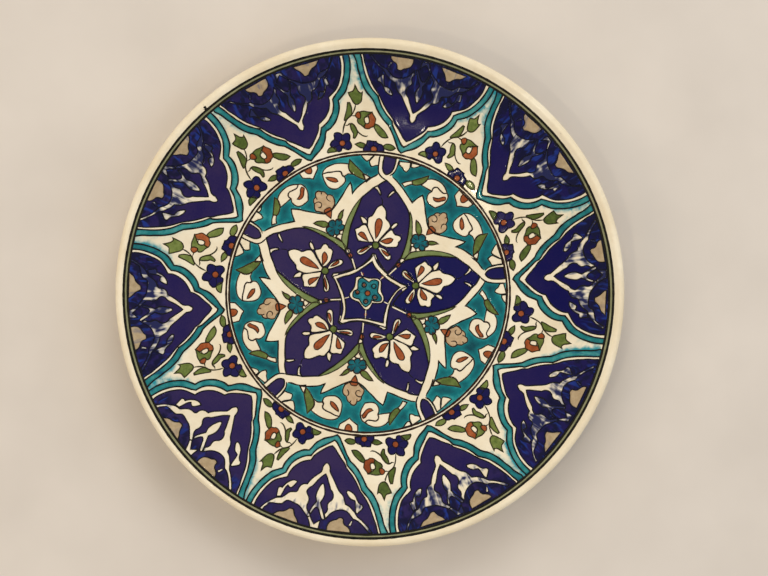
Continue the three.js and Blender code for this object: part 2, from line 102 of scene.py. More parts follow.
PM_L=P("-2.9,25.7! -4.8,25.3 -6.5,25.2 -8.5,25 -10.2,24.9! -11.2,26.2 -11.8,27.5 -12.4,29 -13,30! -12.2,30.8 -11.2,31.4 -10.8,31.9! -10.3,32.6 -9.4,33.2 -8.4,33.3 -7.7,32.8! -6.4,31 -5,29.2 -3.8,27.6 -2.7,26.3!")
PM_R=P("0.3,25.9! 1,25.4 2.6,24.8 4.8,24.6 6.4,24.9 8,25.2 9.3,25.6! 9.9,26.9 9.8,28! 10.6,29 10.8,30.2 10.2,31 9,31.3 7.6,31.4! 6.6,32.2 5.9,33.2 5,33.4! 3.8,32.2 2.4,30.2 1,28.2 0,26.6!")
PM_LL=P("-2.8,24.2! -4.6,23.7 -6.4,22.6 -8,21.5 -9.6,20.5! -9.8,19.4 -9,18.5 -8,18.3! -6.4,19.2 -4.9,20.9 -3.6,22.6 -2.6,23.5!")
PM_LR=P("0.4,24.0! 2,24 3.8,23.5 5.2,22.6 6.4,21.7 7.3,20.6! 7.3,19.3 6.4,18.6 5.2,18.8 3.9,19.9 2.4,21.2 1.1,22.4 0.2,23.4!")
BUD_L=P("-7.8,34! -7.9,35 -8.8,36 -10.2,36.7 -11.9,36.8! -11.2,35.6 -10.5,34.5 -9.9,33.7!")
BUD_R=P("4.7,34.3! 5,35.4 6,36.7 7.2,37.3 8,37.2! 7.9,36.3 6.9,35 5.8,33.9!")
DROPS=[P("-2,27.6! -2.7,30 -3.5,33 -3.7,35.8 -3.2,37.3 -2.2,37.9 -1,37.5 -0.2,36.3 -0.1,34.2 -0.5,31.5 -1.2,29"),
 P("-5.3,25.7! -7.2,26.2 -9.4,27.1 -11,28! -10.4,29 -9.6,29.5 -8.6,29.4 -7.6,28.6 -6.6,27.4"),
 P("0.6,26.8! 2,26.5 4,26.2 5.6,26.8 6.6,27.8 7,29! 5.8,29.4 4.2,29 2.4,28 1.2,27.3"),
 P("-4,23.3! -5.5,22.8 -7,21.6 -8.4,20.3 -8.9,19.3! -7.4,19.9 -6,21.1 -4.8,22.3"),
 P("1.9,23.1! 3.6,22.7 5.2,22.0 6.6,21.0! 5.6,20.4 4.2,20.9 2.9,21.9")]
TICK_L=P("-7.3,51.6! -6,51.4 -4.6,50.3 -3.5,49! -3.2,49.3 -3.6,50.6 -4.6,52 -5.7,53! -6.6,52.5")
TICK_R=P("0.5,48.9! 1.1,50.4 2,51.7 3,52.4! 3.9,51.8! 2.9,50.8 1.8,49.6 1,48.9")
PETAL_SPINE=P("-2.9,48.2 -2.2,47.2 -1.7,45.4 -1.8,44.8")
TAB=P("-5.6,68.4! -5.7,66 -5.5,63.5 -5,61.6 -4,60.2 -2.6,59.4 -1.2,60.2 -0.2,61.8 0.2,64.5 0.2,68.6!")
U_L=P("-7.1,68.3 -7.1,66 -6.8,63.5 -6.3,61.5 -5.4,60.1 -4.4,59.3")
U_R=P("2.4,68.5 2.4,66 2.2,63 1.9,61 1.2,59.2 0.4,58.2 -0.8,57.2 -1.6,56.7")
U_X=P("-5.2,58.9 -4.0,58.9 -2.7,58.9")
U_R_CROSSED=P("-7.4,68.5 -7.4,66 -7.2,63 -6.9,61 -6.3,59.3 -5.2,58.2 -3.6,57.3 -1.6,56.7")
FL_L1=P("-9.9,68! -10.4,66.6 -11.6,64.8 -12.2,63.6 -11.8,62.4 -10.8,61.3! -10,61.6 -9,62.2 -7.8,62.7 -7.1,63! -7.3,66 -7.3,68.2!")
FL_L2=P("-17.8,66.4! -16.6,65 -15,63.9 -13.6,63.3 -12.6,64 -11.4,65.8 -10.4,67.2 -10.2,68!")
FL_R1=P("2.5,67.4! 2.5,65.8! 3.6,65 4.6,64.4 5.4,63.3 6.8,62.6! 7.6,63.8 8,65 8,66.4 7.8,68!")
FL_R2=P("8.4,67.9! 8.4,65.8! 9.6,65.5 11,66 12.4,66.9 13.6,67.5!")
# ---------------------------------------------------------------- ground, base angle -172.8
TOM=P("-3.3,44.5! -4.8,46 -6.6,47.2! -6.7,48.5 -6.3,49.8 -5.9,50.6! -5.9,51.8 -5,53 -3.9,53.3! -3.6,54.6 -2.6,55.4 -1.4,55.3 -0.5,54.5! 0.2,54.2 1,53.6 1.4,52.6 1.7,51.6! 2.8,51.2 3.7,50.2 3.9,48.8 3.6,47.2 3.1,46! 2,45.3 0.9,44.5!")
TOM_RED=P("-3.1,44.9! -2.6,45.8 -1.2,46 0.2,45.8 0.9,44.7! 0.2,43.2 -0.6,41.7 -1.2,40.8! -1.9,42 -2.7,43.6")
TOM_ST=[P("-6.2,50.6 -4.6,50.9 -3.3,50.4 -2.7,49.4 -3.1,48.3 -4.2,47.9 -5.0,48.5"),P("1.9,51.5 0.9,50.9 0.7,50 1.1,49 1.8,48.1"),P("-3.9,53.2 -3.8,52.3 -3.9,51.9"),P("-0.5,54.5 -0.7,53.6 -1.0,53.2")]
TU_L_SH=P("-21.3,60.2! -20,62 -18,63.3 -15.5,64.1 -13,64.2 -11,63.7 -9.2,62.9! -10.6,61.5 -13,61.3 -15,61.1 -15.9,59.4 -15.3,57.9! -18,57 -21.3,55.9! -21.2,58")
TU_L_BELL=P("-15.9,60.2 -16,59 -15.3,57.8! -15.6,56 -15,54.4 -13.6,53 -12,52.6 -10,52.9 -8,53.5! -7.4,55 -6.6,57 -6.4,59.2 -6.9,61 -8,62.5 -9.2,62.9! -10.4,61.6 -12.6,61.3 -14.8,61.2")
TU_L_RED=P("-8.2,61! -9.2,60.3 -9.7,59.2 -10.4,58 -11.6,57 -12.7,56.4! -11.6,55.7 -10.2,55.9 -8.9,57 -8.1,58.5 -7.3,59.6! -7.6,60.5")
TU_R_SH=P("4.2,61.9! 5.4,63.2 7.4,64.1 9.8,64.3 12.4,64 15,63.1 17.2,61.9 18.2,61.2! 17.4,60 16.9,58 17.4,55.4! 15.6,56.5 13.2,56.1! 12.6,57.4 12.8,58.9 11.4,60 9,60.7 6.6,61.6")
TU_R_BELL=P("4.2,61.9! 3.6,59.6 3.4,57.4 3.5,55.6 4.4,53.8 5.8,52.7 7.4,52.2 9.4,52.4 11.4,53 12.8,54 13.2,55.6! 12.5,56.8 12.9,58.2 12.2,59.5 10.8,60.1 8.6,60.8 6.4,61.7")
TU_R_RED=P("4.9,59.6! 6,59.2 7.4,58.3 8.6,57.4 9.3,56.4 9.3,55.1! 8.2,55.2 6.8,56.2 5.6,57.6 5,58.8")
GLF_L=P("-22.2,62! -21.2,59.8 -21.2,57.6 -22,55.2 -23.6,53.2 -24.4,52.7! -25.4,53.4 -26,53.9! -24.8,56.4 -23.6,59 -22.8,60.8")
GST_L=P("-25.8,53.7! -24.5,52.8! -25.4,51.2 -26,49! -28.3,49.1! -27.6,51 -26.6,52.8")
GLF_R=P("19.8,63.4! 18.4,61.3 17.1,59 17.2,56.8 18.6,54.2 20.4,52 22,50.6! 22.6,51.6 22.9,53.4 22.4,55 21.8,56.8 20.8,59.6 20.2,61.8")
GST_R=P("22.3,53.3! 23.2,53.2 24.2,52.2 25.6,50.2! 24,49.9 22.6,50.2! 22.4,51.6")
RF_W=P("-6,68.4! -5.8,66.5 -5.6,64.8! -4.2,64 -2.6,63.2 -1,61.9! 0.8,63.4 2.4,64.6 3.6,65.6! 4,67.2 4.2,68.5!")
RF_R=P("-3,68.5! -2.8,66.8 -1.8,65.4 -0.6,65 0.4,65.8 0.8,67.2 0.9,68.6!")
TBLOS=P("-4.6,35.0! -4.9,36.2 -4.2,37.3 -3.1,37.4! -3.0,38.5 -1.9,39.3 -0.6,39.1 0.0,38.1! 0.8,38.6 2.0,38.2 2.6,37.0 2.1,35.9! 2.7,35.0 2.3,33.9 1.2,33.5 0.3,33.8! -0.3,32.8 -1.5,32.6 -2.2,33.5! -3.4,33.0 -4.4,33.7")
TBLOS_RAYS=("-3.1,37.4 -2.5,36.8 -1.8,36.2","0.0,38.1 -0.2,37.2 -0.7,36.4","2.1,35.9 1.2,35.8 0.2,35.6","0.3,33.8 0.1,34.4 -0.4,35.0","-2.2,33.5 -2.0,34.3 -1.5,35.0","-4.4,35.2 -3.4,35.4 -2.4,35.6")
VWHITE=P("-2.5,31.4! -1.6,32 -0.2,32 0.9,31.3! -0.7,28.7!")
VLEAF_L=P("-10,42.4! -8,42.5 -5.8,41.7 -3.9,40.3 -3.1,38.8! -4.6,38 -6.4,38.6 -8,40.2 -9.2,41.4")
VLEAF_R=P("6.3,41.9! 4.8,41.6 3,40.6 1.9,39.2 2,37.8! 3.4,38.3 4.6,39.4 5.4,40.9")
# the arch's outer edge with its teeth and spurs, in the ground's frame, left to right
ARCH_L_T=[(2.2,63.2),(1.9,61),(1.2,59.4),(0.9,58.9),(2.5,58.0),(4.5,56.5),(6.5,54.8),(8.6,52.8),(10.8,50.6),(13.2,48.4)]
ARCH_MID=P("-17.8,47.1! -17.7,49.3 -17.5,51.3 -17,53.1! -14,51.6 -11,49.4 -8,47.3 -5,45.2 -3.2,44.2! 0.8,44.2! 3,45.2 6,47 9,48.8 12,50.8 14.6,52.2! 14.4,50.5 13.8,48.7 13.1,46.9! 15,48 18,49 21.5,49.7 25,50.4 28,50.6 30.4,50.6!")
# ---------------------------------------------------------------- star and middle flower, plate frame
STAR_OUT=P("3.2,19.3! 4.2,16.4 5.6,13.8 7.6,11.6 10,9.4 13,7.0 16,5.2 19.6,3.5! 17.5,2.6 15.8,1.6 13.6,-0.8 11.6,-4 10.4,-7.6 9.8,-11.4 9.6,-15.0 9.0,-16.9! 5.5,-15.7 2,-14.6 -2,-13.8 -5.6,-13.4 -9,-13.8 -12.4,-14.9 -13.8,-14.1! -12.8,-11 -12.2,-8 -12.5,-4.5 -13.3,-1 -14.8,3 -16.2,6.6 -17.3,8.4! -15,9.1 -11.5,10.1 -8.2,11.2 -5,12.6 -1.8,14.4 0.9,16.6")
STAR_IN=P("2.3,15.9! 3.2,13.8 4.8,11.6 7.0,9.4 9.4,7.2 12,5.4 14.4,4 15.9,3.0! 14.0,1.2 12,-1.4 10.0,-4.6 8.9,-8.2 8.0,-11.6 7.8,-14.6! 4.5,-13.9 1,-13.0 -2.4,-12.4 -6,-12.3 -9,-12.5 -11.7,-12.6! -11.0,-9.6 -10.8,-6.6 -11.2,-3 -12.0,0 -13.4,3.4 -15.2,7.2! -12,8.4 -8.6,9.2 -5.4,10.6 -2,12.8 0.6,14.6")
FLW_OUT=P("-5.9,8.0! -4.4,8.5! -3.4,8.3 -1.4,8.2! 0.4,7.6 3.2,7.6 5.2,7.3 6.6,6.2 6.8,4.2 6.6,2.0 7.0,0.4 7.9,-1.6 7.9,-3.6 7.2,-4.5 5,-4.9 2.4,-4.8! 1.5,-6.6 0.4,-7.9 -0.8,-8.2 -2,-7.4 -3.6,-5.4 -4.6,-4.2! -7,-3.2 -8.6,-1.9 -8.9,-0.2 -8.0,1.2 -6.6,3.2 -6.1,5.4")
FLW_IN=P("-4.8,4.8 -4.6,6.4 -3.6,7.5 -2.2,7.6 -0.8,6.6 0.7,5.6! 2.2,6.6 4.2,6.6 5.4,5.8 5.4,4 5.1,2.2 5.0,0.4! 6.2,-0.8 6.9,-2.2 6.6,-3.6 5.2,-4.0 3.4,-3.9 2.0,-3.3! 1.6,-4.6 0.4,-5.8 -1,-6.6 -2.4,-5.6 -3.6,-3.8 -4.2,-2.7! -5.8,-2.4 -7.2,-1.6 -7.3,-0.2 -6.7,1.2 -5.2,2.0 -4.8,2.4!")
FLW_C=(0,0.1,1.3)
FLW_RINGS=[(-1.7,4.2,1.1),(3.1,3.6,1.1),(-5.0,0.7,1.0),(-0.9,-4.0,1.1),(3.6,-2.0,1.2)]

# ============================================================================ where each repeat of the pattern sits
ANGLES = {
    "C": [5.2, 38.9, 73.5, 110.7, 148.9, 185.3, 222.6, 257.4, 293.1, 329.2],
    "S": [22.05, 56.2, 92.1, 129.8, 167.1, 203.95, 240.0, 275.25, 311.15, 347.2],
    "P": [81.6, 8.2, -65.1, -136.8, 151.8],
    "G": [44.9, -28.45, -100.95, -172.5, 116.7],
}
REACH = {"C": (-39, 39, 69.5, 119), "S": (-19, 19, 69, 105), "P": (-19, 19, 8, 71), "G": (-33, 33, 28, 70.5)}
# How far each repeat strays from the drawn pattern, in hundredths of a millimetre, u and v in turn, on a coarse net over its reach.
# These distances were computed by a program that lined up the repeats in the photograph with one another.
STRAY_TEXT = {
    "C": [
        """-40 -30 -43 11 -43 49 -53 65 -79 91 -135 106 -192 105 -208 119 -180 150 -130 182 /
        -40 11 -67 68 -66 115 -60 141 -75 173 -141 175 -207 151 -222 137 -188 138 -136 151 /
        -39 49 -78 115 -84 162 -79 191 -106 204 -171 194 -230 178 -239 157 -195 134 -145 130 /
        -36 66 -83 129 -101 170 -113 191 -155 177 -199 162 -239 163 -251 158 -217 139 -176 130 /
        -53 56 -90 115 -104 157 -130 166 -169 142 -183 121 -206 114 -238 122 -255 141 -231 145 /
        -75 23 -77 77 -77 119 -106 124 -142 102 -152 76 -175 58 -214 70 -260 108 -266 126 /
        -61 -14 -42 25 -39 60 -65 72 -106 56 -133 31 -162 14 -194 19 -227 41 -252 63 /
        -29 -45 -10 -25 -8 -7 -31 -1 -71 -3 -113 -13 -148 -22 -174 -24 -197 -19 -226 -5""",
        """-347 -90 -342 -50 -322 -8 -304 14 -302 16 -334 23 -383 69 -423 173 -443 307 -449 436 /
        -341 -87 -346 -8 -324 73 -298 124 -296 124 -336 95 -390 82 -447 146 -479 264 -493 382 /
        -356 -81 -370 24 -352 120 -323 175 -322 172 -357 126 -400 89 -454 132 -499 231 -535 330 /
        -384 -78 -410 14 -406 92 -387 138 -383 141 -399 116 -423 96 -453 123 -499 200 -552 281 /
        -399 -88 -440 -27 -449 26 -439 70 -434 91 -437 94 -455 91 -466 113 -493 174 -522 238 /
        -396 -119 -432 -77 -453 -33 -461 10 -465 41 -474 59 -495 75 -491 107 -482 148 -476 191 /
        -386 -159 -411 -122 -439 -79 -465 -27 -487 10 -516 28 -540 54 -522 92 -479 120 -441 148 /
        -371 -196 -394 -158 -426 -113 -464 -61 -504 -21 -547 6 -569 38 -546 73 -489 96 -423 114""",
        """-410 -260 -402 -198 -400 -130 -390 -86 -405 -44 -473 26 -563 135 -610 259 -577 387 -502 522 /
        -508 -223 -462 -136 -426 -49 -400 9 -410 58 -485 101 -579 150 -633 228 -621 340 -577 464 /
        -602 -194 -529 -91 -468 -1 -439 65 -448 113 -509 130 -578 140 -636 197 -663 298 -666 402 /
        -660 -189 -593 -89 -532 -6 -504 56 -512 93 -546 108 -584 118 -631 161 -688 243 -741 329 /
        -707 -208 -657 -129 -599 -55 -558 8 -556 46 -580 68 -608 90 -637 124 -686 190 -745 262 /
        -735 -235 -689 -175 -640 -111 -598 -51 -591 -11 -615 17 -639 48 -648 89 -661 141 -693 198 /
        -719 -258 -681 -207 -652 -150 -632 -89 -636 -48 -657 -19 -671 19 -660 64 -642 105 -638 148 /
        -692 -277 -671 -229 -659 -174 -663 -114 -680 -71 -698 -39 -700 4 -674 47 -633 79 -592 107""",
        """-479 -195 -439 -141 -402 -76 -366 -29 -335 -3 -334 15 -369 49 -404 118 -391 212 -348 302 /
        -523 -160 -449 -93 -384 -26 -340 24 -316 60 -338 65 -381 60 -412 93 -399 172 -364 252 /
        -551 -137 -460 -53 -381 11 -331 54 -319 85 -356 85 -401 75 -422 98 -408 152 -391 214 /
        -541 -153 -468 -64 -399 -1 -352 33 -349 50 -382 59 -422 74 -443 108 -440 151 -439 192 /
        -533 -209 -487 -137 -428 -71 -378 -25 -375 -8 -396 6 -431 35 -462 86 -484 147 -479 188 /
        -557 -283 -521 -220 -466 -148 -419 -88 -413 -58 -430 -37 -459 -3 -486 57 -500 127 -477 177 /
        -583 -351 -547 -278 -510 -195 -483 -121 -478 -76 -490 -48 -505 -13 -506 42 -495 104 -465 159 /
        -595 -405 -570 -319 -556 -228 -551 -143 -548 -84 -552 -45 -547 -6 -523 39 -492 89 -459 140""",
        """-334 -39 -253 -44 -174 -39 -128 -26 -139 0 -201 22 -253 30 -260 61 -229 110 -181 154 /
        -304 0 -195 37 -96 80 -49 110 -81 122 -182 112 -252 79 -258 71 -220 98 -169 130 /
        -291 33 -158 101 -50 165 -9 201 -59 184 -166 141 -238 102 -252 89 -215 96 -177 105 /
        -297 50 -164 119 -57 172 -33 188 -87 155 -160 113 -209 88 -223 82 -205 77 -207 68 /
        -318 38 -195 89 -94 118 -80 108 -120 85 -155 68 -174 50 -171 39 -175 38 -214 39 /
        -324 1 -207 33 -121 43 -109 26 -130 23 -152 23 -160 21 -143 27 -139 29 -175 37 /
        -276 -43 -182 -21 -124 -9 -117 -1 -132 7 -156 9 -167 21 -147 42 -123 52 -120 58 /
        -209 -86 -157 -68 -126 -45 -122 -14 -133 8 -155 16 -170 33 -154 59 -117 77 -77 86""",
        """-118 38 -82 6 -62 -21 -90 -34 -163 -17 -257 14 -310 37 -273 74 -161 137 -21 214 /
        -150 26 -95 27 -49 25 -54 27 -118 59 -225 98 -289 105 -251 101 -144 122 -27 164 /
        -187 7 -118 43 -59 62 -40 76 -84 98 -177 117 -241 122 -223 115 -140 105 -55 115 /
        -218 -22 -141 31 -80 58 -57 68 -77 76 -133 80 -188 87 -207 97 -173 97 -125 95 /
        -236 -68 -163 -15 -100 19 -75 29 -83 36 -114 37 -156 35 -197 53 -221 91 -213 113 /
        -279 -114 -209 -73 -139 -34 -101 -11 -99 2 -119 2 -154 -5 -193 20 -237 78 -259 125 /
        -308 -142 -237 -102 -170 -61 -132 -22 -126 -4 -142 -10 -168 -12 -190 12 -217 59 -249 110 /
        -318 -158 -251 -115 -194 -71 -162 -28 -157 -7 -168 -7 -180 -2 -188 18 -201 47 -224 86""",
        """0 0 0 0 0 0 0 0 0 0 0 0 0 0 0 0 0 0 0 0 /
        0 0 0 0 0 0 0 0 0 0 0 0 0 0 0 0 0 0 0 0 /
        0 0 0 0 0 0 0 0 0 0 0 0 0 0 0 0 0 0 0 0 /
        0 0 0 0 0 0 0 0 0 0 0 0 0 0 0 0 0 0 0 0 /
        0 0 0 0 0 0 0 0 0 0 0 0 0 0 0 0 0 0 0 0 /
        0 0 0 0 0 0 0 0 0 0 0 0 0 0 0 0 0 0 0 0 /
        0 0 0 0 0 0 0 0 0 0 0 0 0 0 0 0 0 0 0 0 /
        0 0 0 0 0 0 0 0 0 0 0 0 0 0 0 0 0 0 0 0""",
        """-191 78 -107 64 -66 62 -69 53 -101 43 -159 35 -222 32 -271 63 -309 113 -341 163 /
        -263 89 -150 86 -71 85 -45 81 -60 77 -122 58 -198 26 -267 29 -330 61 -383 104 /
        -299 79 -184 94 -89 93 -43 89 -47 85 -104 59 -179 19 -256 2 -334 17 -403 54 /
        -276 37 -185 60 -110 68 -72 69 -82 55 -114 39 -164 24 -229 9 -307 10 -387 34 /
        -251 -14 -188 4 -131 23 -106 31 -114 29 -120 36 -145 38 -193 33 -257 35 -320 43 /
        -246 -52 -200 -38 -152 -17 -126 1 -129 19 -128 47 -140 54 -165 54 -198 58 -235 61 /
        -236 -75 -200 -54 -165 -26 -146 4 -142 31 -143 56 -148 58 -145 55 -140 61 -150 71 /
        -220 -92 -197 -61 -179 -26 -167 11 -158 43 -158 58 -154 50 -129 45 -97 57 -71 75""",
        """-229 -54 -220 -37 -212 -10 -209 16 -209 32 -219 43 -224 50 -215 87 -196 153 -168 221 /
        -233 -29 -219 -5 -198 31 -178 61 -170 88 -202 106 -240 106 -249 114 -241 138 -225 160 /
        -240 -5 -217 30 -185 60 -150 83 -139 112 -184 134 -251 153 -282 153 -280 132 -281 107 /
        -257 3 -217 36 -171 58 -126 71 -121 88 -158 115 -229 150 -282 156 -300 120 -321 78 /
        -270 -18 -208 -2 -155 6 -116 11 -105 38 -128 82 -189 116 -248 127 -288 114 -311 82 /
        -252 -69 -190 -64 -145 -58 -110 -43 -97 -1 -126 53 -180 85 -218 104 -240 108 -249 91 /
        -196 -125 -154 -113 -130 -90 -123 -51 -128 -8 -161 28 -197 44 -200 64 -181 79 -169 86 /
        -131 -177 -119 -143 -122 -99 -146 -46 -179 -11 -209 -2 -218 -3 -189 14 -141 45 -97 77""",
        """-259 56 -184 35 -122 22 -97 13 -129 26 -218 46 -300 57 -325 93 -300 162 -252 242 /
        -326 83 -195 79 -89 79 -46 84 -76 109 -178 121 -269 93 -308 89 -302 138 -278 203 /
        -373 97 -203 114 -72 124 -24 129 -53 142 -141 137 -221 107 -265 91 -283 120 -293 166 /
        -384 86 -201 119 -64 135 -15 131 -42 115 -100 100 -158 90 -203 85 -243 100 -286 126 /
        -396 50 -209 88 -58 105 3 91 -8 68 -49 51 -97 40 -143 47 -195 65 -240 81 /
        -379 -12 -201 25 -51 42 17 26 16 6 -24 -7 -70 -15 -103 3 -149 29 -183 43 /
        -296 -81 -153 -48 -41 -24 10 -19 9 -30 -28 -45 -67 -45 -84 -27 -104 -7 -123 9 /
        -192 -142 -105 -112 -38 -80 -6 -52 -7 -47 -30 -57 -55 -56 -64 -46 -64 -35 -65 -21""",
    ],
    "S": [
        """33 42 73 13 88 -6 38 15 -53 32 -155 41 -254 54 /
        96 22 100 4 47 12 -37 53 -115 37 -171 -2 -196 -21 /
        171 -17 115 -21 -22 18 -140 64 -190 28 -198 -30 -180 -72 /
        223 -37 101 -14 -75 34 -213 64 -245 19 -232 -45 -220 -101 /
        246 -32 112 0 -54 39 -212 58 -281 13 -291 -54 -295 -110 /
        252 -17 139 9 11 36 -143 55 -268 18 -340 -47 -383 -102 /
        249 1 156 28 59 53 -56 66 -206 39 -349 -21 -468 -84""",
        """-110 31 -196 110 -261 128 -281 105 -283 99 -301 116 -315 142 /
        -110 -32 -208 27 -308 62 -328 82 -297 111 -310 140 -349 141 /
        -104 -93 -216 -54 -348 11 -381 74 -333 103 -347 115 -404 103 /
        -87 -130 -225 -80 -377 1 -434 80 -401 103 -418 85 -476 60 /
        -42 -142 -185 -86 -336 -19 -457 54 -493 83 -516 65 -568 37 /
        36 -142 -88 -88 -235 -28 -431 36 -580 41 -645 28 -698 15 /
        127 -137 5 -75 -164 -10 -408 43 -638 40 -767 14 -845 -6""",
        """-117 -15 -132 -15 -173 -18 -211 6 -209 42 -202 59 -196 55 /
        -170 -115 -154 -110 -215 -65 -281 12 -278 37 -263 29 -253 6 /
        -202 -200 -185 -185 -256 -104 -316 -5 -326 5 -324 -24 -322 -47 /
        -241 -218 -242 -175 -284 -97 -325 -19 -351 -18 -381 -59 -405 -85 /
        -285 -189 -287 -135 -290 -75 -334 -13 -388 -8 -436 -52 -481 -90 /
        -313 -145 -306 -105 -297 -70 -341 -26 -425 -18 -492 -44 -550 -76 /
        -330 -98 -323 -80 -324 -68 -373 -54 -479 -48 -556 -50 -617 -57""",
        """-140 -10 -98 -12 -95 -6 -110 32 -103 100 -99 145 -106 155 /
        -109 -33 -62 -35 -94 -15 -149 25 -170 47 -167 29 -143 15 /
        -88 -62 -84 -56 -139 -23 -191 -7 -216 -48 -206 -92 -165 -99 /
        -103 -63 -164 -32 -219 -1 -230 -7 -217 -63 -203 -122 -194 -158 /
        -108 -58 -181 -25 -222 3 -224 14 -228 -30 -230 -105 -249 -173 /
        -69 -60 -93 -55 -108 -48 -163 -29 -247 -55 -294 -111 -331 -167 /
        -3 -67 18 -90 4 -111 -108 -117 -268 -128 -365 -139 -426 -155""",
        """0 0 0 0 0 0 0 0 0 0 0 0 0 0 /
        0 0 0 0 0 0 0 0 0 0 0 0 0 0 /
        0 0 0 0 0 0 0 0 0 0 0 0 0 0 /
        0 0 0 0 0 0 0 0 0 0 0 0 0 0 /
        0 0 0 0 0 0 0 0 0 0 0 0 0 0 /
        0 0 0 0 0 0 0 0 0 0 0 0 0 0 /
        0 0 0 0 0 0 0 0 0 0 0 0 0 0""",
        """291 84 238 66 194 32 149 2 136 -3 132 -13 122 -47 /
        317 58 260 50 219 21 162 -17 112 -48 60 -62 20 -77 /
        319 29 272 2 208 -11 136 -37 70 -96 11 -115 -43 -101 /
        292 6 249 -25 166 -33 72 -47 15 -94 -12 -105 -57 -92 /
        254 -18 214 -39 147 -50 53 -45 -12 -58 -51 -71 -84 -71 /
        211 -41 190 -55 167 -67 113 -43 28 -22 -52 -30 -112 -37 /
        169 -61 176 -62 191 -62 174 -46 74 -17 -36 -2 -135 1""",
        """95 42 103 43 93 33 76 29 86 43 84 47 38 17 /
        183 -19 189 -14 129 -5 43 -33 -3 -50 -39 -37 -88 -50 /
        225 -72 212 -81 117 -57 -16 -89 -99 -147 -143 -150 -174 -137 /
        221 -101 171 -129 71 -136 -67 -144 -145 -175 -168 -185 -198 -184 /
        230 -127 161 -150 77 -173 -68 -167 -150 -161 -172 -173 -205 -188 /
        267 -164 215 -178 147 -189 5 -169 -117 -153 -181 -164 -231 -177 /
        315 -203 284 -207 231 -201 114 -174 -34 -151 -161 -152 -262 -160""",
        """65 91 101 59 94 29 73 35 66 79 15 107 -84 91 /
        69 47 120 13 84 11 29 34 18 47 -21 41 -117 -7 /
        52 10 77 -12 28 9 -36 23 -48 -18 -65 -50 -138 -97 /
        11 0 3 1 -44 21 -103 15 -108 -57 -116 -112 -167 -160 /
        -5 -14 -19 -10 -41 -7 -106 -10 -148 -67 -177 -135 -211 -188 /
        15 -44 20 -60 20 -78 -49 -72 -141 -92 -210 -143 -262 -189 /
        53 -82 77 -120 81 -150 16 -151 -107 -143 -218 -154 -311 -177""",
        """-84 59 -49 29 -31 23 -37 53 -37 94 -41 95 -72 67 /
        6 40 16 0 -13 -13 -76 9 -97 49 -103 35 -138 -17 /
        76 -5 56 -51 -25 -55 -131 -42 -160 -37 -174 -54 -210 -95 /
        84 -38 42 -64 -39 -61 -152 -48 -195 -67 -232 -103 -277 -141 /
        79 -67 38 -62 -20 -47 -128 -20 -198 -30 -240 -78 -294 -126 /
        80 -101 51 -91 13 -76 -69 -38 -160 -19 -224 -45 -289 -79 /
        81 -136 68 -134 52 -126 13 -87 -81 -41 -184 -24 -279 -23""",
        """31 144 32 128 20 80 3 39 18 22 46 11 64 10 /
        64 123 79 104 58 73 14 44 5 12 6 -10 -5 -34 /
        66 81 88 53 56 49 -5 26 -27 -32 -38 -63 -65 -92 /
        4 56 23 31 11 24 -38 10 -60 -45 -81 -96 -115 -139 /
        -72 46 -41 22 -6 -1 -32 3 -63 -21 -86 -81 -122 -141 /
        -124 32 -59 7 17 -21 24 -10 -23 -17 -67 -68 -109 -121 /
        -158 17 -71 1 16 -12 67 -14 40 -24 -24 -57 -89 -95""",
    ],
    "P": [
        """157 126 144 56 130 -6 111 -48 109 -75 126 -70 147 -53 /
        137 110 148 49 146 -19 124 -72 122 -89 151 -78 181 -60 /
        122 86 155 42 172 -5 152 -47 138 -69 171 -79 211 -70 /
        155 80 200 42 227 8 196 -28 154 -58 167 -74 212 -69 /
        241 105 261 52 271 -2 233 -45 180 -70 163 -81 193 -77 /
        344 150 319 70 285 -6 235 -47 191 -55 172 -69 184 -91 /
        419 196 354 105 280 23 230 -16 221 -13 220 -41 214 -104 /
        436 215 361 142 283 53 257 -9 270 -11 282 -38 282 -111 /
        416 200 359 140 317 54 332 -19 350 -45 348 -73 345 -122 /
        382 178 365 113 369 35 399 -39 417 -91 411 -123 401 -142""",
        """197 41 154 7 102 -28 45 -62 16 -87 37 -62 77 0 /
        157 48 126 14 86 -29 46 -75 34 -87 55 -49 68 5 /
        116 54 111 17 94 -21 68 -59 55 -72 55 -54 38 -21 /
        88 64 116 20 125 -15 97 -41 56 -62 13 -73 -20 -67 /
        110 84 134 34 141 -18 98 -59 33 -87 -33 -114 -64 -126 /
        182 107 170 40 144 -29 71 -80 -6 -111 -59 -150 -64 -174 /
        248 117 210 38 155 -29 68 -64 6 -83 -11 -124 1 -173 /
        272 99 232 24 177 -37 109 -53 67 -36 72 -58 95 -115 /
        268 57 245 17 215 -18 187 -25 157 -7 161 -19 181 -50 /
        259 20 261 20 262 16 260 12 249 10 248 2 254 0""",
        """64 -137 90 -137 120 -106 133 -31 120 42 98 100 81 156 /
        52 -95 65 -91 87 -80 94 -45 81 6 71 66 62 123 /
        35 -76 39 -64 50 -54 47 -44 40 -14 42 34 31 87 /
        15 -86 21 -76 34 -58 23 -31 -8 -5 -27 20 -40 52 /
        6 -104 8 -91 25 -77 3 -41 -59 -9 -109 -1 -124 12 /
        34 -120 18 -96 14 -85 -33 -59 -106 -26 -162 -15 -179 -8 /
        109 -134 71 -105 22 -81 -49 -47 -111 -2 -151 16 -186 6 /
        185 -132 121 -104 44 -76 -23 -25 -78 44 -123 58 -175 36 /
        231 -150 145 -102 57 -56 -2 -1 -50 50 -97 53 -148 49 /
        260 -171 166 -101 75 -37 6 12 -38 36 -75 39 -113 48""",
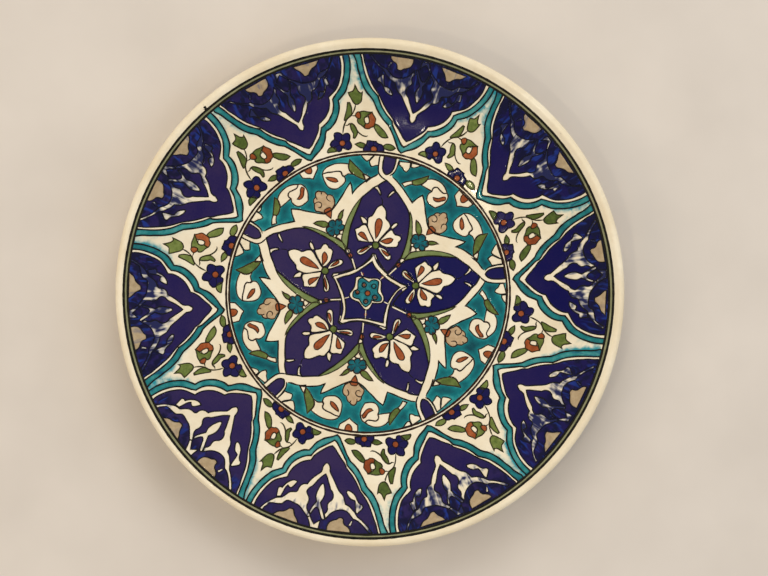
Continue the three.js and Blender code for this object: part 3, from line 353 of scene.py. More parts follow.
        """0 0 0 0 0 0 0 0 0 0 0 0 0 0 /
        0 0 0 0 0 0 0 0 0 0 0 0 0 0 /
        0 0 0 0 0 0 0 0 0 0 0 0 0 0 /
        0 0 0 0 0 0 0 0 0 0 0 0 0 0 /
        0 0 0 0 0 0 0 0 0 0 0 0 0 0 /
        0 0 0 0 0 0 0 0 0 0 0 0 0 0 /
        0 0 0 0 0 0 0 0 0 0 0 0 0 0 /
        0 0 0 0 0 0 0 0 0 0 0 0 0 0 /
        0 0 0 0 0 0 0 0 0 0 0 0 0 0 /
        0 0 0 0 0 0 0 0 0 0 0 0 0 0""",
        """-53 -78 -4 -53 54 -18 97 7 104 -18 91 -34 79 -20 /
        -11 -76 31 -65 78 -50 116 -42 127 -61 112 -42 85 6 /
        31 -77 72 -71 105 -65 118 -70 128 -81 117 -45 88 17 /
        68 -78 111 -68 140 -58 126 -55 112 -59 98 -32 87 16 /
        95 -84 138 -63 169 -47 152 -32 125 -25 93 -11 81 13 /
        132 -89 162 -63 181 -39 169 -7 140 20 98 18 63 6 /
        174 -66 191 -47 199 -22 187 35 171 84 132 66 76 8 /
        212 -16 221 -5 227 14 212 70 186 121 158 89 125 9 /
        245 36 244 46 241 54 215 71 174 85 154 51 147 -15 /
        277 82 260 79 236 69 203 51 167 27 148 -4 147 -41""",
    ],
    "G": [
        """101 99 123 75 141 54 146 46 149 60 125 59 82 41 62 4 70 -48 84 -100 /
        112 125 123 88 134 46 135 26 126 36 113 44 104 35 96 3 90 -50 77 -99 /
        133 148 128 109 129 53 133 19 124 16 117 26 127 32 128 9 105 -42 60 -91 /
        175 164 158 127 158 63 156 15 139 7 123 11 141 30 153 23 110 -22 31 -66 /
        241 154 214 114 205 53 186 7 159 -7 135 -1 141 24 154 24 104 -1 19 -28 /
        308 115 269 85 234 46 193 6 160 -20 142 -22 138 -9 129 -11 88 -13 33 -11 /
        362 79 308 60 250 36 193 3 150 -29 127 -47 115 -54 96 -50 72 -32 48 -6""",
        """-90 -54 -51 -43 -15 -34 2 -30 6 -22 -19 0 -79 30 -111 41 -103 33 -81 24 /
        -93 -31 -59 -65 -27 -96 -14 -98 -16 -57 -26 -9 -63 26 -81 31 -75 20 -71 13 /
        -88 -2 -59 -72 -34 -144 -25 -149 -31 -82 -42 -20 -49 11 -48 10 -51 4 -75 5 /
        -58 32 -30 -38 -1 -115 -6 -133 -36 -85 -65 -39 -50 -24 -26 -34 -45 -26 -106 -6 /
        11 57 25 4 35 -54 10 -76 -39 -69 -83 -61 -68 -58 -39 -54 -70 -37 -145 -16 /
        97 73 79 42 50 5 -3 -17 -63 -42 -100 -73 -91 -80 -79 -61 -111 -48 -164 -32 /
        175 90 116 80 46 64 -32 36 -98 -9 -126 -56 -126 -76 -130 -70 -149 -61 -173 -51""",
        """-136 -24 -106 -9 -78 6 -59 17 -37 49 -32 95 -57 142 -75 160 -80 171 -83 187 /
        -141 -2 -120 -32 -99 -52 -79 -48 -52 -3 -36 55 -50 106 -73 137 -88 152 -104 163 /
        -139 26 -126 -37 -109 -82 -83 -70 -57 -14 -48 39 -55 90 -77 127 -101 137 -130 128 /
        -119 52 -115 4 -95 -37 -75 -26 -72 12 -92 40 -93 82 -98 117 -121 110 -159 72 /
        -72 30 -90 9 -93 -5 -93 9 -120 29 -164 53 -156 89 -127 100 -141 68 -177 14 /
        -20 -7 -68 -3 -112 2 -152 8 -198 23 -227 51 -200 78 -159 81 -155 49 -168 0 /
        21 -33 -58 -16 -141 -6 -221 -2 -277 15 -285 41 -249 56 -204 55 -172 35 -152 5""",
        """17 15 16 12 15 9 14 6 14 2 14 -2 14 -6 15 -9 16 -12 17 -15 /
        19 16 19 13 18 10 18 6 18 2 18 -2 18 -6 18 -10 19 -13 19 -16 /
        23 17 22 13 22 10 22 6 22 2 22 -2 22 -6 22 -10 22 -13 23 -17 /
        26 17 26 13 26 10 26 6 26 2 26 -2 26 -6 26 -10 26 -14 26 -18 /
        30 18 30 14 30 10 30 6 30 2 30 -2 30 -6 30 -10 30 -14 29 -18 /
        33 17 33 13 33 9 33 6 33 2 33 -2 33 -6 33 -10 33 -13 33 -17 /
        35 16 36 13 36 9 36 6 37 2 37 -2 36 -6 36 -10 36 -13 35 -17""",
        """119 290 131 218 135 144 119 81 93 54 74 42 72 25 78 -6 79 -29 76 -38 /
        97 305 116 220 130 133 128 70 119 53 120 49 133 32 126 7 93 -6 49 -2 /
        82 313 108 226 128 124 151 59 172 53 191 59 211 47 188 27 114 22 20 28 /
        85 292 127 232 165 136 200 65 230 67 246 82 266 80 246 57 149 40 7 23 /
        125 221 178 188 233 133 267 85 265 86 255 115 262 113 256 59 177 8 42 -39 /
        192 141 237 126 275 108 285 80 247 65 218 91 224 83 222 14 182 -57 111 -116 /
        266 72 287 71 294 66 270 48 214 28 172 28 168 8 175 -47 178 -115 176 -179""",
    ],
}
STRAY = {kind: [np.array([[float(x) for x in row.split()] for row in text.split("/")]).reshape(len(text.split("/")), -1, 2) / 100 for text in texts] for kind, texts in STRAY_TEXT.items()}

# ============================================================================ shape of the plate
WELL_R, WELL_Z, WALL_R, WALL_RISE = 58.0, 9.0, 121.62, 22.59
LIP_R, LIP_CR, LIP_CZ = 2.2, 122.8, 29.8
SHIFT = np.array([-1.2, -0.7])          # the painter's centre against the potter's centre


def undulate(x, y):
    """The slow unevenness a hand leaves in a turned face, in mm."""
    return (0.055 * np.sin(x / 13.1 + 0.7) * np.cos(y / 17.3 - 0.4)
            + 0.045 * np.sin((x + 0.6 * y) / 9.7 + 1.9) + 0.035 * np.cos((y - 0.4 * x) / 11.9 + 0.3))


def face_z(x, y):
    """Height of the glazed face in mm over the point (x, y), plate centre at 0, 0."""
    x = np.asarray(x, float); y = np.asarray(y, float)
    r = np.hypot(x, y)
    wall = WELL_Z + WALL_RISE * (np.clip((r - WELL_R) / (WALL_R - WELL_R), 0, None)) ** 2
    # the well meets the wall in a soft turn
    turn = 0.22 * np.exp(-((r - WELL_R) / 5.0) ** 2)
    lip = LIP_CZ + np.sqrt(np.clip(LIP_R ** 2 - (r - LIP_CR) ** 2, 0, None))
    t = np.clip((r - 120.9) / 1.0, 0, 1); t = t * t * (3 - 2 * t)
    fade = np.clip((124.0 - r) / 6.0, 0, 1)
    return (wall + turn) * (1 - t) + lip * t + undulate(x, y) * fade


# ============================================================================ curves
def spline(pts, closed=True, step=0.35):
    """A smooth curve through the points; a point flagged as a corner stays sharp."""
    n = len(pts); out = []
    Q = np.array([p[:2] for p in pts], float); corner = [p[2] for p in pts]
    for i in range(n if closed else n - 1):
        a = Q[i]; b = Q[(i + 1) % n]
        before = Q[(i - 1) % n] if (closed or i > 0) else a
        after = Q[(i + 2) % n] if (closed or i + 2 < n) else b
        L = np.linalg.norm(b - a) + 1e-9

        def tangent(prev, cur, nxt, sharp):
            if sharp or np.allclose(prev, cur) or np.allclose(cur, nxt):
                return b - a
            l0 = np.linalg.norm(cur - prev) + 1e-9; l1 = np.linalg.norm(nxt - cur) + 1e-9
            return ((cur - prev) / l0 * l1 / (l0 + l1) + (nxt - cur) / l1 * l0 / (l0 + l1)) * L

        m0 = tangent(before, a, b, corner[i]); m1 = tangent(a, b, after, corner[(i + 1) % n])
        k = max(1, int(np.ceil(L / step)))
        t = (np.arange(k) / k)[:, None]
        out.append((2 * t**3 - 3 * t**2 + 1) * a + (t**3 - 2 * t**2 + t) * m0 + (-2 * t**3 + 3 * t**2) * b + (t**3 - t**2) * m1)
    if not closed:
        out.append(Q[-1:])
    return np.vstack(out)


def bspline_weights(n, x):
    a = np.abs(x[:, None] * (n - 1) - np.arange(n)[None, :])
    w = np.where(a < 1, (4 - 6 * a**2 + 3 * a**3) / 6, np.where(a < 2, (2 - a) ** 3 / 6, 0))
    return w / w.sum(1, keepdims=True)


def strayed(kind, k, uv):
    """Shifts a pattern's points to where the painter's hand put them in repeat k."""
    C = STRAY[kind][k]; u0, u1, v0, v1 = REACH[kind]
    U = np.clip((uv[:, 0] - u0) / (u1 - u0), 0, 1); V = np.clip((uv[:, 1] - v0) / (v1 - v0), 0, 1)
    return uv + np.einsum("ij,jkc,ik->ic", bspline_weights(C.shape[0], V), C, bspline_weights(C.shape[1], U))


def to_plate(uv, angle):
    t = math.radians(angle); u = uv[:, 0]; v = uv[:, 1]
    return np.stack([v * math.cos(t) + u * math.sin(t), v * math.sin(t) - u * math.cos(t)], 1)


def place(kind, k, pts, closed=True):
    q = spline(pts, closed) if not isinstance(pts, np.ndarray) else pts
    return to_plate(strayed(kind, k, q), ANGLES[kind][k])


def dot(c, n=20):
    t = np.linspace(0, 2 * np.pi, n, endpoint=False)
    return np.stack([c[0] + c[2] * np.cos(t), c[1] + c[2] * np.sin(t)], 1)


def arc(r, q0, q1, step=0.9):
    a0 = math.atan2(q0[1], q0[0]); a1 = math.atan2(q1[1], q1[0]); d = (a1 - a0 + math.pi) % (2 * math.pi) - math.pi
    t = a0 + d * np.linspace(0, 1, max(2, int(abs(d) * r / step) + 1))
    return np.stack([r * np.cos(t), r * np.sin(t)], 1)


def within(q, rmax=None, rmin=None):
    r = np.hypot(q[:, 0], q[:, 1]); s = np.ones_like(r)
    if rmax: s = np.where(r > rmax, rmax / r, s)
    if rmin: s = np.where(r < rmin, rmin / np.maximum(r, 1e-6), s)
    return q * s[:, None]


def inside(p, poly):
    """Even-odd test of many points against one outline."""
    out = np.zeros(len(p), bool)
    a = poly; b = np.roll(poly, -1, 0)
    lo, hi = poly.min(0), poly.max(0)
    near = np.flatnonzero((p > lo).all(1) & (p < hi).all(1))
    if not len(near): return out
    x = p[near, 0][:, None]; y = p[near, 1][:, None]
    cross = (a[:, 1] > y) != (b[:, 1] > y)
    with np.errstate(divide="ignore", invalid="ignore"):
        xi = a[:, 0] + (y - a[:, 1]) * (b[:, 0] - a[:, 0]) / (b[:, 1] - a[:, 1])
    out[near] = ((cross & (x < xi)).sum(1) % 2).astype(bool)
    return out


def thin_out(q, closed, most=0.55, turn=0.16):
    """Drops points where a curve runs straight; keeps them at bends and corners."""
    d = np.diff(np.vstack([q, q[:1]]) if closed else q, axis=0)
    keep_len = np.linalg.norm(d, axis=1) > 1e-4
    if closed: q = q[keep_len]
    else: q = q[np.append(keep_len, True)]
    n = len(q)
    if n < 4: return q
    nx = np.roll(q, -1, 0) - q; ang = np.arctan2(nx[:, 1], nx[:, 0])
    keep = [0]; length = 0.0; bend = 0.0
    for i in range(1, n):
        length += math.hypot(*(q[i] - q[i - 1]))
        if i < n - 1 or closed:
            dt = (ang[i] - ang[i - 1] + math.pi) % (2 * math.pi) - math.pi
        else:
            dt = 0
        bend += abs(dt)
        if length >= most or bend > turn or (not closed and i == n - 1):
            keep.append(i); length = 0.0; bend = 0.0
    return q[keep]


# ============================================================================ gathering the pieces
BINS = {}      # piece name -> lists of vertices, faces, flags and the three values the glaze materials read


def store(piece, verts, faces, smooth, edge, tint, wash):
    b = BINS.setdefault(piece, dict(v=[], f=[], s=[], e=[], t=[], w=[], n=0))
    b["v"].append(verts); b["f"].extend([tuple(int(i) + b["n"] for i in f) for f in faces]); b["s"].extend(smooth)
    b["e"].append(edge); b["t"].append(np.broadcast_to(tint, len(verts)).astype(float)); b["w"].append(np.broadcast_to(wash, len(verts)).astype(float))
    b["n"] += len(verts)


def hex_points(lo, hi, s, seed):
    rng = np.random.default_rng(seed)
    xs = np.arange(lo[0], hi[0] + s, s); ys = np.arange(lo[1], hi[1] + s, s * 0.866)
    X, Y = np.meshgrid(xs, ys); X = X + (np.arange(len(ys)) % 2 * s / 2)[:, None]
    p = np.stack([X.ravel(), Y.ravel()], 1)
    return p + rng.uniform(-0.12, 0.12, p.shape) * s


def nearest(p, q):
    """Distance from each of p to the closest of q."""
    out = np.empty(len(p))
    for i in range(0, len(p), 2000):
        d = p[i:i + 2000, None, :] - q[None]
        out[i:i + 2000] = np.sqrt((d * d).sum(2).min(1))
    return out


def field(piece, outer, holes=(), lift=0.035, relief=0.06, shoulder=1.2, spacing=1.0, tint=0.5, wash=0.0, sink=0.06):
    """A coat of glaze with this outline, laid on the face: a closed thin solid that swells a little away from its edge."""
    outer = thin_out(outer, True)
    holes = [thin_out(h, True) for h in holes]
    rings = [outer] + holes
    lo, hi = outer.min(0), outer.max(0)
    holes_in = [h for h in rings[1:] if (h.max(0) > lo).all() and (h.min(0) < hi).all()]
    rings = [outer] + holes_in
    edge_pts = np.vstack([np.vstack([(r + (np.roll(r, -1, 0) - r) * t) for t in (0, 0.5)]) for r in rings])
    inner = hex_points(lo, hi, spacing, 11)
    inner = inner[inside(inner, outer)]
    for h in holes_in:
        if len(inner): inner = inner[~inside(inner, h)]
    if len(inner):
        inner = inner[nearest(inner, edge_pts) > 0.42 * spacing]
    verts = [Vector((float(x), float(y))) for x, y in np.vstack(rings + [inner])]
    edges = []; n0 = 0
    for r in rings:
        m = len(r); edges += [(n0 + i, n0 + (i + 1) % m) for i in range(m)]; n0 += m
    vo, _, fo, _, _, _ = delaunay_2d_cdt(verts, edges, [], 0, 1e-5, False)
    P2 = np.array([(v[0], v[1]) for v in vo]); F = np.array(fo, int)
    c = P2[F].mean(1)
    ok = inside(c, outer)
    for h in holes_in: ok &= ~inside(c, h)
    a, b, d = P2[F[:, 0]], P2[F[:, 1]], P2[F[:, 2]]
    area = ((b - a)[:, 0] * (d - a)[:, 1] - (b - a)[:, 1] * (d - a)[:, 0]) / 2
    ok &= np.abs(area) > 1e-6
    F = F[ok]; area = area[ok]
    F = np.where((area < 0)[:, None], F[:, ::-1], F)
    used, F = np.unique(F, return_inverse=True); F = F.reshape(-1, 3); P2 = P2[used]
    if not len(F): return
    dist = nearest(P2, edge_pts)
    edge = np.clip(dist / 2.4, 0, 1)
    w = P2 + SHIFT; z = face_z(w[:, 0], w[:, 1])
    s = np.clip(dist / shoulder, 0, 1); s = s * s * (3 - 2 * s)
    top = np.column_stack([w, z + lift + relief * s]); bottom = np.column_stack([w, z - sink])
    n = len(P2)
    side = {}
    for t in F:
        for i in range(3):
            e = (t[i], t[(i + 1) % 3]); side[e] = 1
    rim = [(a_, b_) for a_, b_ in side if (b_, a_) not in side]
    faces = [tuple(t) for t in F] + [(t[2] + n, t[1] + n, t[0] + n) for t in F] + [(b_, a_, a_ + n, b_ + n) for a_, b_ in rim]
    smooth = [True] * (2 * len(F)) + [False] * len(rim)
    wv = wash(P2) if callable(wash) else wash
    wv = np.broadcast_to(wv, n); tv = tint(P2) if callable(tint) else tint; tv = np.broadcast_to(tv, n)
    store(piece, np.vstack([top, bottom]), faces, smooth, np.concatenate([edge, edge]), np.concatenate([tv, tv]), np.concatenate([wv, wv]))


STROKES = [0]


LINE_GAIN = 1.22


def stroke(piece, path, width, closed=False, height=0.115, base=0.0, taper=True, tint=0.5, wash=0.0, uneven=0.16, most=1.0, turn=0.2):
    """A line of the brush along the path: a low rounded bead, a little uneven, thin where the brush lands and lifts."""
    q = thin_out(np.asarray(path, float), closed, most, turn)
    n = len(q)
    if n < 2: return
    STROKES[0] += 1
    rng = np.random.default_rng(1000 + STROKES[0])
    seg = np.linalg.norm(np.diff(np.vstack([q, q[:1]]) if closed else q, axis=0), axis=1)
    s = np.concatenate([[0], np.cumsum(seg)]); total = s[-1]; s = s[:n]
    w = np.full(n, float(width) * LINE_GAIN * (1.2 if piece.startswith(("roundel_lines", "ground_lines", "palmette_lines", "petal_edging_lines", "centre_lines", "spray_lines")) else 1.0))
    for _ in range(3):
        wl = rng.uniform(3.0, 14.0)
        if closed: wl = total / max(1, round(total / wl))
        w *= 1 + uneven * 0.55 * np.sin(2 * math.pi * (s / wl + rng.random()))
    if not closed and taper:
        run = min(1.3, total * 0.3)
        w *= np.clip(0.35 + 0.65 * s / run, 0, 1) * np.clip(0.3 + 0.7 * (total - s) / run, 0, 1)
    fwd = (np.roll(q, -1, 0) - q); back = (q - np.roll(q, 1, 0))
    if not closed: fwd[-1] = back[-1]; back[0] = fwd[0]
    fwd /= np.linalg.norm(fwd, axis=1, keepdims=True) + 1e-9; back /= np.linalg.norm(back, axis=1, keepdims=True) + 1e-9
    tan = fwd + back; ln = np.linalg.norm(tan, axis=1, keepdims=True); tan = np.where(ln < 0.2, fwd, tan / np.maximum(ln, 1e-6))
    miter = 1 / np.clip((tan * fwd).sum(1), 0.62, 1)
    nrm = np.stack([-tan[:, 1], tan[:, 0]], 1) * miter[:, None]
    rows = []
    for off, h in ((0.5, 0.0), (0.36, height), (-0.36, height), (-0.5, 0.0)):
        p = q + nrm * (w * off)[:, None] + SHIFT
        rows.append(np.column_stack([p, face_z(p[:, 0], p[:, 1]) + (h + base if h > 0 else -0.02)]))
    V = np.stack(rows, 1).reshape(-1, 3)
    faces = []
    for i in range(n if closed else n - 1):
        a = 4 * i; b = 4 * ((i + 1) % n)
        faces += [(a, b, b + 1, a + 1)[::-1], (a + 1, b + 1, b + 2, a + 2)[::-1], (a + 2, b + 2, b + 3, a + 3)[::-1], (a + 3, b + 3, b, a)[::-1]]
    if not closed:
        faces += [(0, 1, 2, 3)[::-1], (4 * n - 1, 4 * n - 2, 4 * n - 3, 4 * n - 4)[::-1]]
    wv = wash(q) if callable(wash) else np.broadcast_to(wash, n)
    store(piece, V, faces, [True] * len(faces), np.ones(4 * n), np.full(4 * n, float(tint)), np.repeat(np.asarray(wv, float), 4))


# ============================================================================ how the glaze ran, sector by sector
# (strength of the blue that ran over the pale parts, radius where it starts, lean to one side)
RUN = [(0.45, 101, 0.0), (0.90, 94, -0.1), (0.80, 95, 0.0), (0.95, 96, 0.0), (0.75, 98, 0.15), (0.80, 97, 0.0), (0.42, 103, 0.2), (0.22, 104, -0.2), (0.55, 99, 0.25), (0.72, 97, 0.1)]
NARROW = [0.05, 0.32, 0.25, 0.35, 0.15, 0.10, 0.0, 0.0, 0.05, 0.15]      # how far the blue closed in on the pale parts, mm
BLUE = [0.92, 0.72, 0.62, 0.36, 0.30, 0.34, 0.16, 0.10, 0.30, 0.55]          # 0 leans to purple, 1 to a clear blue
PETAL_BLUE = [0.30, 0.95, 0.42, 0.22, 0.12]


def drawn_in(q, d):
    """The outline moved inward by d mm."""
    if d <= 0: return q
    a = np.roll(q, 1, 0); b = np.roll(q, -1, 0); t = b - a; t /= np.linalg.norm(t, axis=1, keepdims=True) + 1e-9
    area = (q[:, 0] * b[:, 1] - q[:, 1] * b[:, 0]).sum()
    n = np.stack([-t[:, 1], t[:, 0]], 1) * (1 if area > 0 else -1)
    return q + n * d


# the same over the white parts, where it lay thinner and left streaks of white showing
THIN = [(0.56, 90, 0.0), (0.66, 91, -0.1), (0.68, 91, 0.0), (0.70, 91, 0.0), (0.58, 91, 0.15), (0.64, 91, 0.0), (0.30, 101, 0.2), (0.36, 96, -0.2), (0.54, 92, 0.25), (0.60, 91, 0.1)]


def run_of(k, table=RUN):
    s, r0, lean = table[k]; a0 = math.radians(ANGLES["C"][k])

    def f(p):
        r = np.hypot(p[:, 0], p[:, 1]); da = (np.arctan2(p[:, 1], p[:, 0]) - a0 + math.pi) % (2 * math.pi) - math.pi
        t = np.clip((r - r0) / 12.0, 0, 1); t = t * t * (3 - 2 * t)
        return np.clip(s * t * (1 - lean * da / 0.25), 0, 1)
    return f


def blue_of(k, base=None):
    b = BLUE[k] if base is None else base

    def f(p):
        r = np.hypot(p[:, 0], p[:, 1])
        return np.clip(b + 0.25 * (np.clip((r - 74) / 44, 0, 1) - 0.4), 0, 1)
    return f


# ============================================================================ the painting
R_IN, R_RING = 118.25, 68.65
bleed_src = []        # (outline, strength) where turquoise seeped past its line

for k in range(10):
    n = "%02d" % (k + 1)
    C_ = lambda p, c=True: place("C", k, p, c)
    run, thin, blue = run_of(k), run_of(k, THIN), blue_of(k)
    ends = lambda q: np.vstack([q[0] * R_IN / np.hypot(*q[0]), q, q[-1] * R_IN / np.hypot(*q[-1])])
    outer = ends(within(np.vstack([C_(RIB_OUT_L, False), C_(RIB_OUT_R, False)[1:]]), R_IN))
    inner = ends(within(np.vstack([C_(RIB_IN_L, False), C_(RIB_IN_R, False)[1:]]), R_IN))
    edge = ends(within(np.vstack([C_(FIELD_L, False), C_(FIELD_R, False)[1:]]), R_IN))
    ribbon = np.vstack([outer, arc(R_IN, outer[-1], inner[-1])[1:-1], inner[::-1], arc(R_IN, inner[0], outer[0])[1:-1]])
    field("cartouche_ribbon_%s_glaze" % n, ribbon, spacing=0.8, shoulder=0.9, tint=0.35 + 0.3 * ((k * 7) % 5) / 4, wash=lambda p: 0.6 * run(p))
    whites = [drawn_in(within(C_(w), R_IN), NARROW[k]) for w in (W_MAIN, W_DROP, W_ROOF, W_COM_L, W_COM_R)] + [within(C_(W_SLIT), R_IN)]
    tans = [within(C_(w), R_IN) for w in (TAN_L, TAN_R)]
    body = np.vstack([edge, arc(R_IN, edge[-1], edge[0])[1:-1]])
    field("cartouche_cobalt_%s_glaze" % n, body, holes=whites + tans, tint=blue, wash=run)
    for w in whites:
        field("cartouche_reserve_%s" % n, w, lift=0.022, relief=0.0, spacing=0.8, wash=thin)
        stroke("cartouche_lines_%s" % n, w, 0.5 if w is not whites[5] else 0.3, True, wash=run)
    for w in tans:
        field("rim_blossoms", w, spacing=0.9, wash=lambda p: 0.5 * run(p), tint=0.5)
        stroke("cartouche_lines_%s" % n, w, 0.5, True, wash=run)
    stroke("cartouche_lines_%s" % n, outer, 0.72, taper=False, wash=lambda p: 0.5 * run(p))
    stroke("cartouche_lines_%s" % n, inner, 0.68, taper=False, wash=lambda p: 0.6 * run(p))
    stroke("cartouche_lines_%s" % n, edge, 0.55, taper=False, wash=run)
    bleed_src.append((outer, k))
    # ---- spray of flowers beside it
    S_ = lambda p, c=True: place("S", k, p, c)
    t = ((k * 5) % 7) / 6
    for leaf in (LEAF1, LEAF2, LEAF3, LEAF4, LEAF5, LEAF6, TULIP, BUD_GREEN):
        q = within(S_(leaf), None, 70.35)
        field("spray_leaves", q, spacing=0.7, shoulder=0.8, tint=0.25 + 0.5 * t)
        stroke("spray_lines_%s" % n, q, 0.42, True, tint=0.7)
    for st in (ST_TULIP, ST_MAIN, ST_BUD, ST_CURL):
        stroke("spray_lines_%s" % n, S_(st, False), 0.5, tint=0.8)
    for bud in (BUD_RED, BUD_CAP):
        q = S_(bud)
        field("spray_rosebuds", q, spacing=0.7, shoulder=0.8, tint=0.3 + 0.4 * t)
        stroke("spray_lines_%s" % n, q, 0.36, True, tint=0.6)
    stroke("spray_lines_%s" % n, S_(BUD_WHITE), 0.32, True, tint=0.6)
    hearts = [place("S", k, dot(BLOS_C)), within(place("S", k, dot(HBLOS_C)), None, 70.35)]
    for bl, h in ((S_(BLOS), hearts[0]), (within(S_(HBLOS), None, 70.35), hearts[1])):
        field("spray_blossom_%s_glaze" % n, bl, holes=[h], spacing=0.8, shoulder=0.9, tint=0.35 + 0.4 * ((k * 3) % 5) / 4)
        stroke("blossom_lines", bl, 0.48, True, tint=0.1)
        field("blossom_hearts", h, spacing=0.5, shoulder=0.6, tint=0.5)
        stroke("blossom_lines", h, 0.25, True, tint=0.2)
    for ray in BLOS_RAYS + HBLOS_RAYS:
        stroke("blossom_lines", within(S_(ray, False), None, 70.35), 0.34, base=0.03, tint=0.1)

star_out, star_in = spline(STAR_OUT), spline(STAR_IN)


def crossed(k, q):
    """At petals 1 and 5 the two bands cross over the other way."""
    return [(-5.0 - x, y, c) for x, y, c in q[::-1]] if k in (0, 4) else q


for k in range(5):
    n = str(k + 1)
    P_ = lambda p, c=True: place("P", k, p, c)
    petal = P_(PETAL)
    greens = [P_(g) for g in (GREEN_R, GREEN_L)]
    whites = [P_(w) for w in (PM_C, PM_L, PM_R, PM_LL, PM_LR, BUD_L, BUD_R, TICK_L, TICK_R)]
    hub = place("P", k, dot(HUB)); tab = within(P_(crossed(k, TAB)), R_RING)
    field("rosette_petal_%s_glaze" % n, petal, holes=greens + whites + [hub, tab, star_out], tint=PETAL_BLUE[k], spacing=1.0)
    stroke("roundel_lines_%s" % n, petal, 0.5, True)
    for g in greens:
        field("petal_edging", g, spacing=0.7, shoulder=0.7, tint=0.5)
        stroke("petal_edging_lines", g, 0.36, True, tint=0.7)
    for i, w in enumerate(whites):
        field("palmette_%s" % n, w, lift=0.022, relief=0.0, spacing=0.9)
        stroke("palmette_lines_%s" % n, w, 0.44, True, tint=0.3)
    for d in DROPS:
        q = P_(d); field("palmette_drops", q, spacing=0.6, shoulder=0.7, tint=0.5); stroke("palmette_lines_%s" % n, q, 0.34, True, tint=0.6)
    field("palmette_hubs", hub, spacing=0.6, lift=0.05, tint=0.5); stroke("palmette_lines_%s" % n, hub, 0.36, True, tint=0.7, base=0.02)
    stroke("palmette_lines_%s" % n, P_(PETAL_SPINE, False), 0.4, tint=0.3)
    field("roundel_tab_%s_glaze" % n, tab, spacing=0.8, tint=PETAL_BLUE[k])
    stroke("roundel_lines_%s" % n, tab, 0.5, True)
    for u in (crossed(k, U_L), U_R_CROSSED if k in (0, 4) else U_R):
        stroke("roundel_lines_%s" % n, within(P_(u, False), R_RING), 0.55)
    for f in (FL_L1, FL_L2, FL_R1, FL_R2):
        q = within(P_(f), R_RING); field("roundel_flowers_%s" % n, q, lift=0.022, relief=0.0, spacing=0.9); stroke("roundel_lines_%s" % n, q, 0.46, True)

GROUND_NO = [2, 3, 4, 5, 1]          # which numbered ground lies on the clockwise side of petal k
for k in range(5):
    n = str(k + 1); L, R = k, (k + 1) % 5
    G_ = lambda p, c=True: place("G", k, p, c)
    left = place("P", L, np.array([(2.1, 68.9), (2.1, 66), (1.8, 63.5), (1.3, 61.5), (0.7, 60.2), (0.5, 59.4)] if L in (0, 4) else [(2.4, 68.9), (2.4, 66), (2.2, 63), (1.9, 61), (1.2, 59.3), (0.9, 58.9)], float))
    left2 = place("P", L, P("0.9,58.9 2.5,58 4.5,56.5 6.5,54.8 8.6,52.8 10.8,50.6 13.2,48.4"), False)
    right2 = place("P", R, P("-12.4,53.2 -10.6,55.2 -9.2,56.5 -7.8,57.5 -6.3,59") if R in (0, 4) else P("-12.4,53.2 -10.6,55.2 -9,56.5 -6.5,57.9 -5,58.9"), False)
    right = place("P", R, np.array([(-6.6, 60.0), (-6.9, 61.5), (-7.2, 63.5), (-7.4, 66), (-7.4, 68.9)] if R in (0, 4) else [(-5.2, 59.6), (-6.3, 61.5), (-6.8, 63.5), (-7.1, 66), (-7.1, 68.9)], float))
    mid = G_(ARCH_MID, False)[:-14]
    low = within(np.vstack([left, left2[1:], mid[1:], right2, right]), R_RING)
    ground = np.vstack([low, arc(R_RING, low[-1], low[0])[1:-1]])
    bud, tip = G_(TOM), G_(TOM_RED)
    whites = [within(G_(w), R_RING) for w in (TU_L_SH, TU_L_BELL, TU_R_SH, TU_R_BELL, RF_W, GST_L, GST_R, VWHITE)]
    side = [within(place("P", L, spline(w)), R_RING) for w in (FL_R1, FL_R2)] + [within(place("P", R, spline(w)), R_RING) for w in (FL_L1, FL_L2)]
    leaves = [G_(g) for g in (GLF_L, GLF_R)]
    field("roundel_ground_%d_glaze" % GROUND_NO[k], ground, holes=[bud, tip] + whites + side + leaves, spacing=0.9, tint=0.42 + 0.14 * ((k * 2) % 5) / 4)
    stroke("roundel_lines_%s" % n, np.vstack([left2, mid[1:], right2]), 0.55)
    field("roundel_buds", bud, spacing=0.8, tint=0.5, holes=[tip]); stroke("ground_lines_%s" % n, bud, 0.46, True, tint=0.5)
    for s_ in TOM_ST: stroke("ground_lines_%s" % n, G_(s_, False), 0.46, base=0.03, tint=0.5)
    field("bud_tips", tip, spacing=0.6, shoulder=0.7, tint=0.5); stroke("ground_lines_%s" % n, tip, 0.38, True, tint=0.6)
    for w in whites:
        field("ground_flowers_%s" % n, w, lift=0.022, relief=0.0, spacing=0.9); stroke("ground_lines_%s" % n, w, 0.46, True)
    for r_ in (TU_L_RED, TU_R_RED, RF_R):
        q = within(G_(r_), R_RING); field("tulip_hearts", q, spacing=0.6, shoulder=0.7, tint=0.5); stroke("ground_lines_%s" % n, q, 0.36, True, tint=0.6)
    for g in leaves + [G_(g) for g in (VLEAF_L, VLEAF_R)]:
        field("roundel_leaves", g, spacing=0.7, shoulder=0.8, tint=0.5); stroke("ground_lines_%s" % n, g, 0.42, True, tint=0.7)
    grown = lambda pts: [(-1.0 + (x + 1.0) * 1.2, 35.9 + (y - 35.9) * 1.16, c) for x, y, c in pts]
    q = G_(grown(TBLOS)); field("arch_blossoms", q, spacing=0.7, tint=0.35); stroke("ground_lines_%s" % n, q, 0.5, True)
    for d_ in TBLOS_RAYS:
        stroke("ground_lines_%s" % n, G_(grown(P(d_)), False), 0.4, base=0.03)

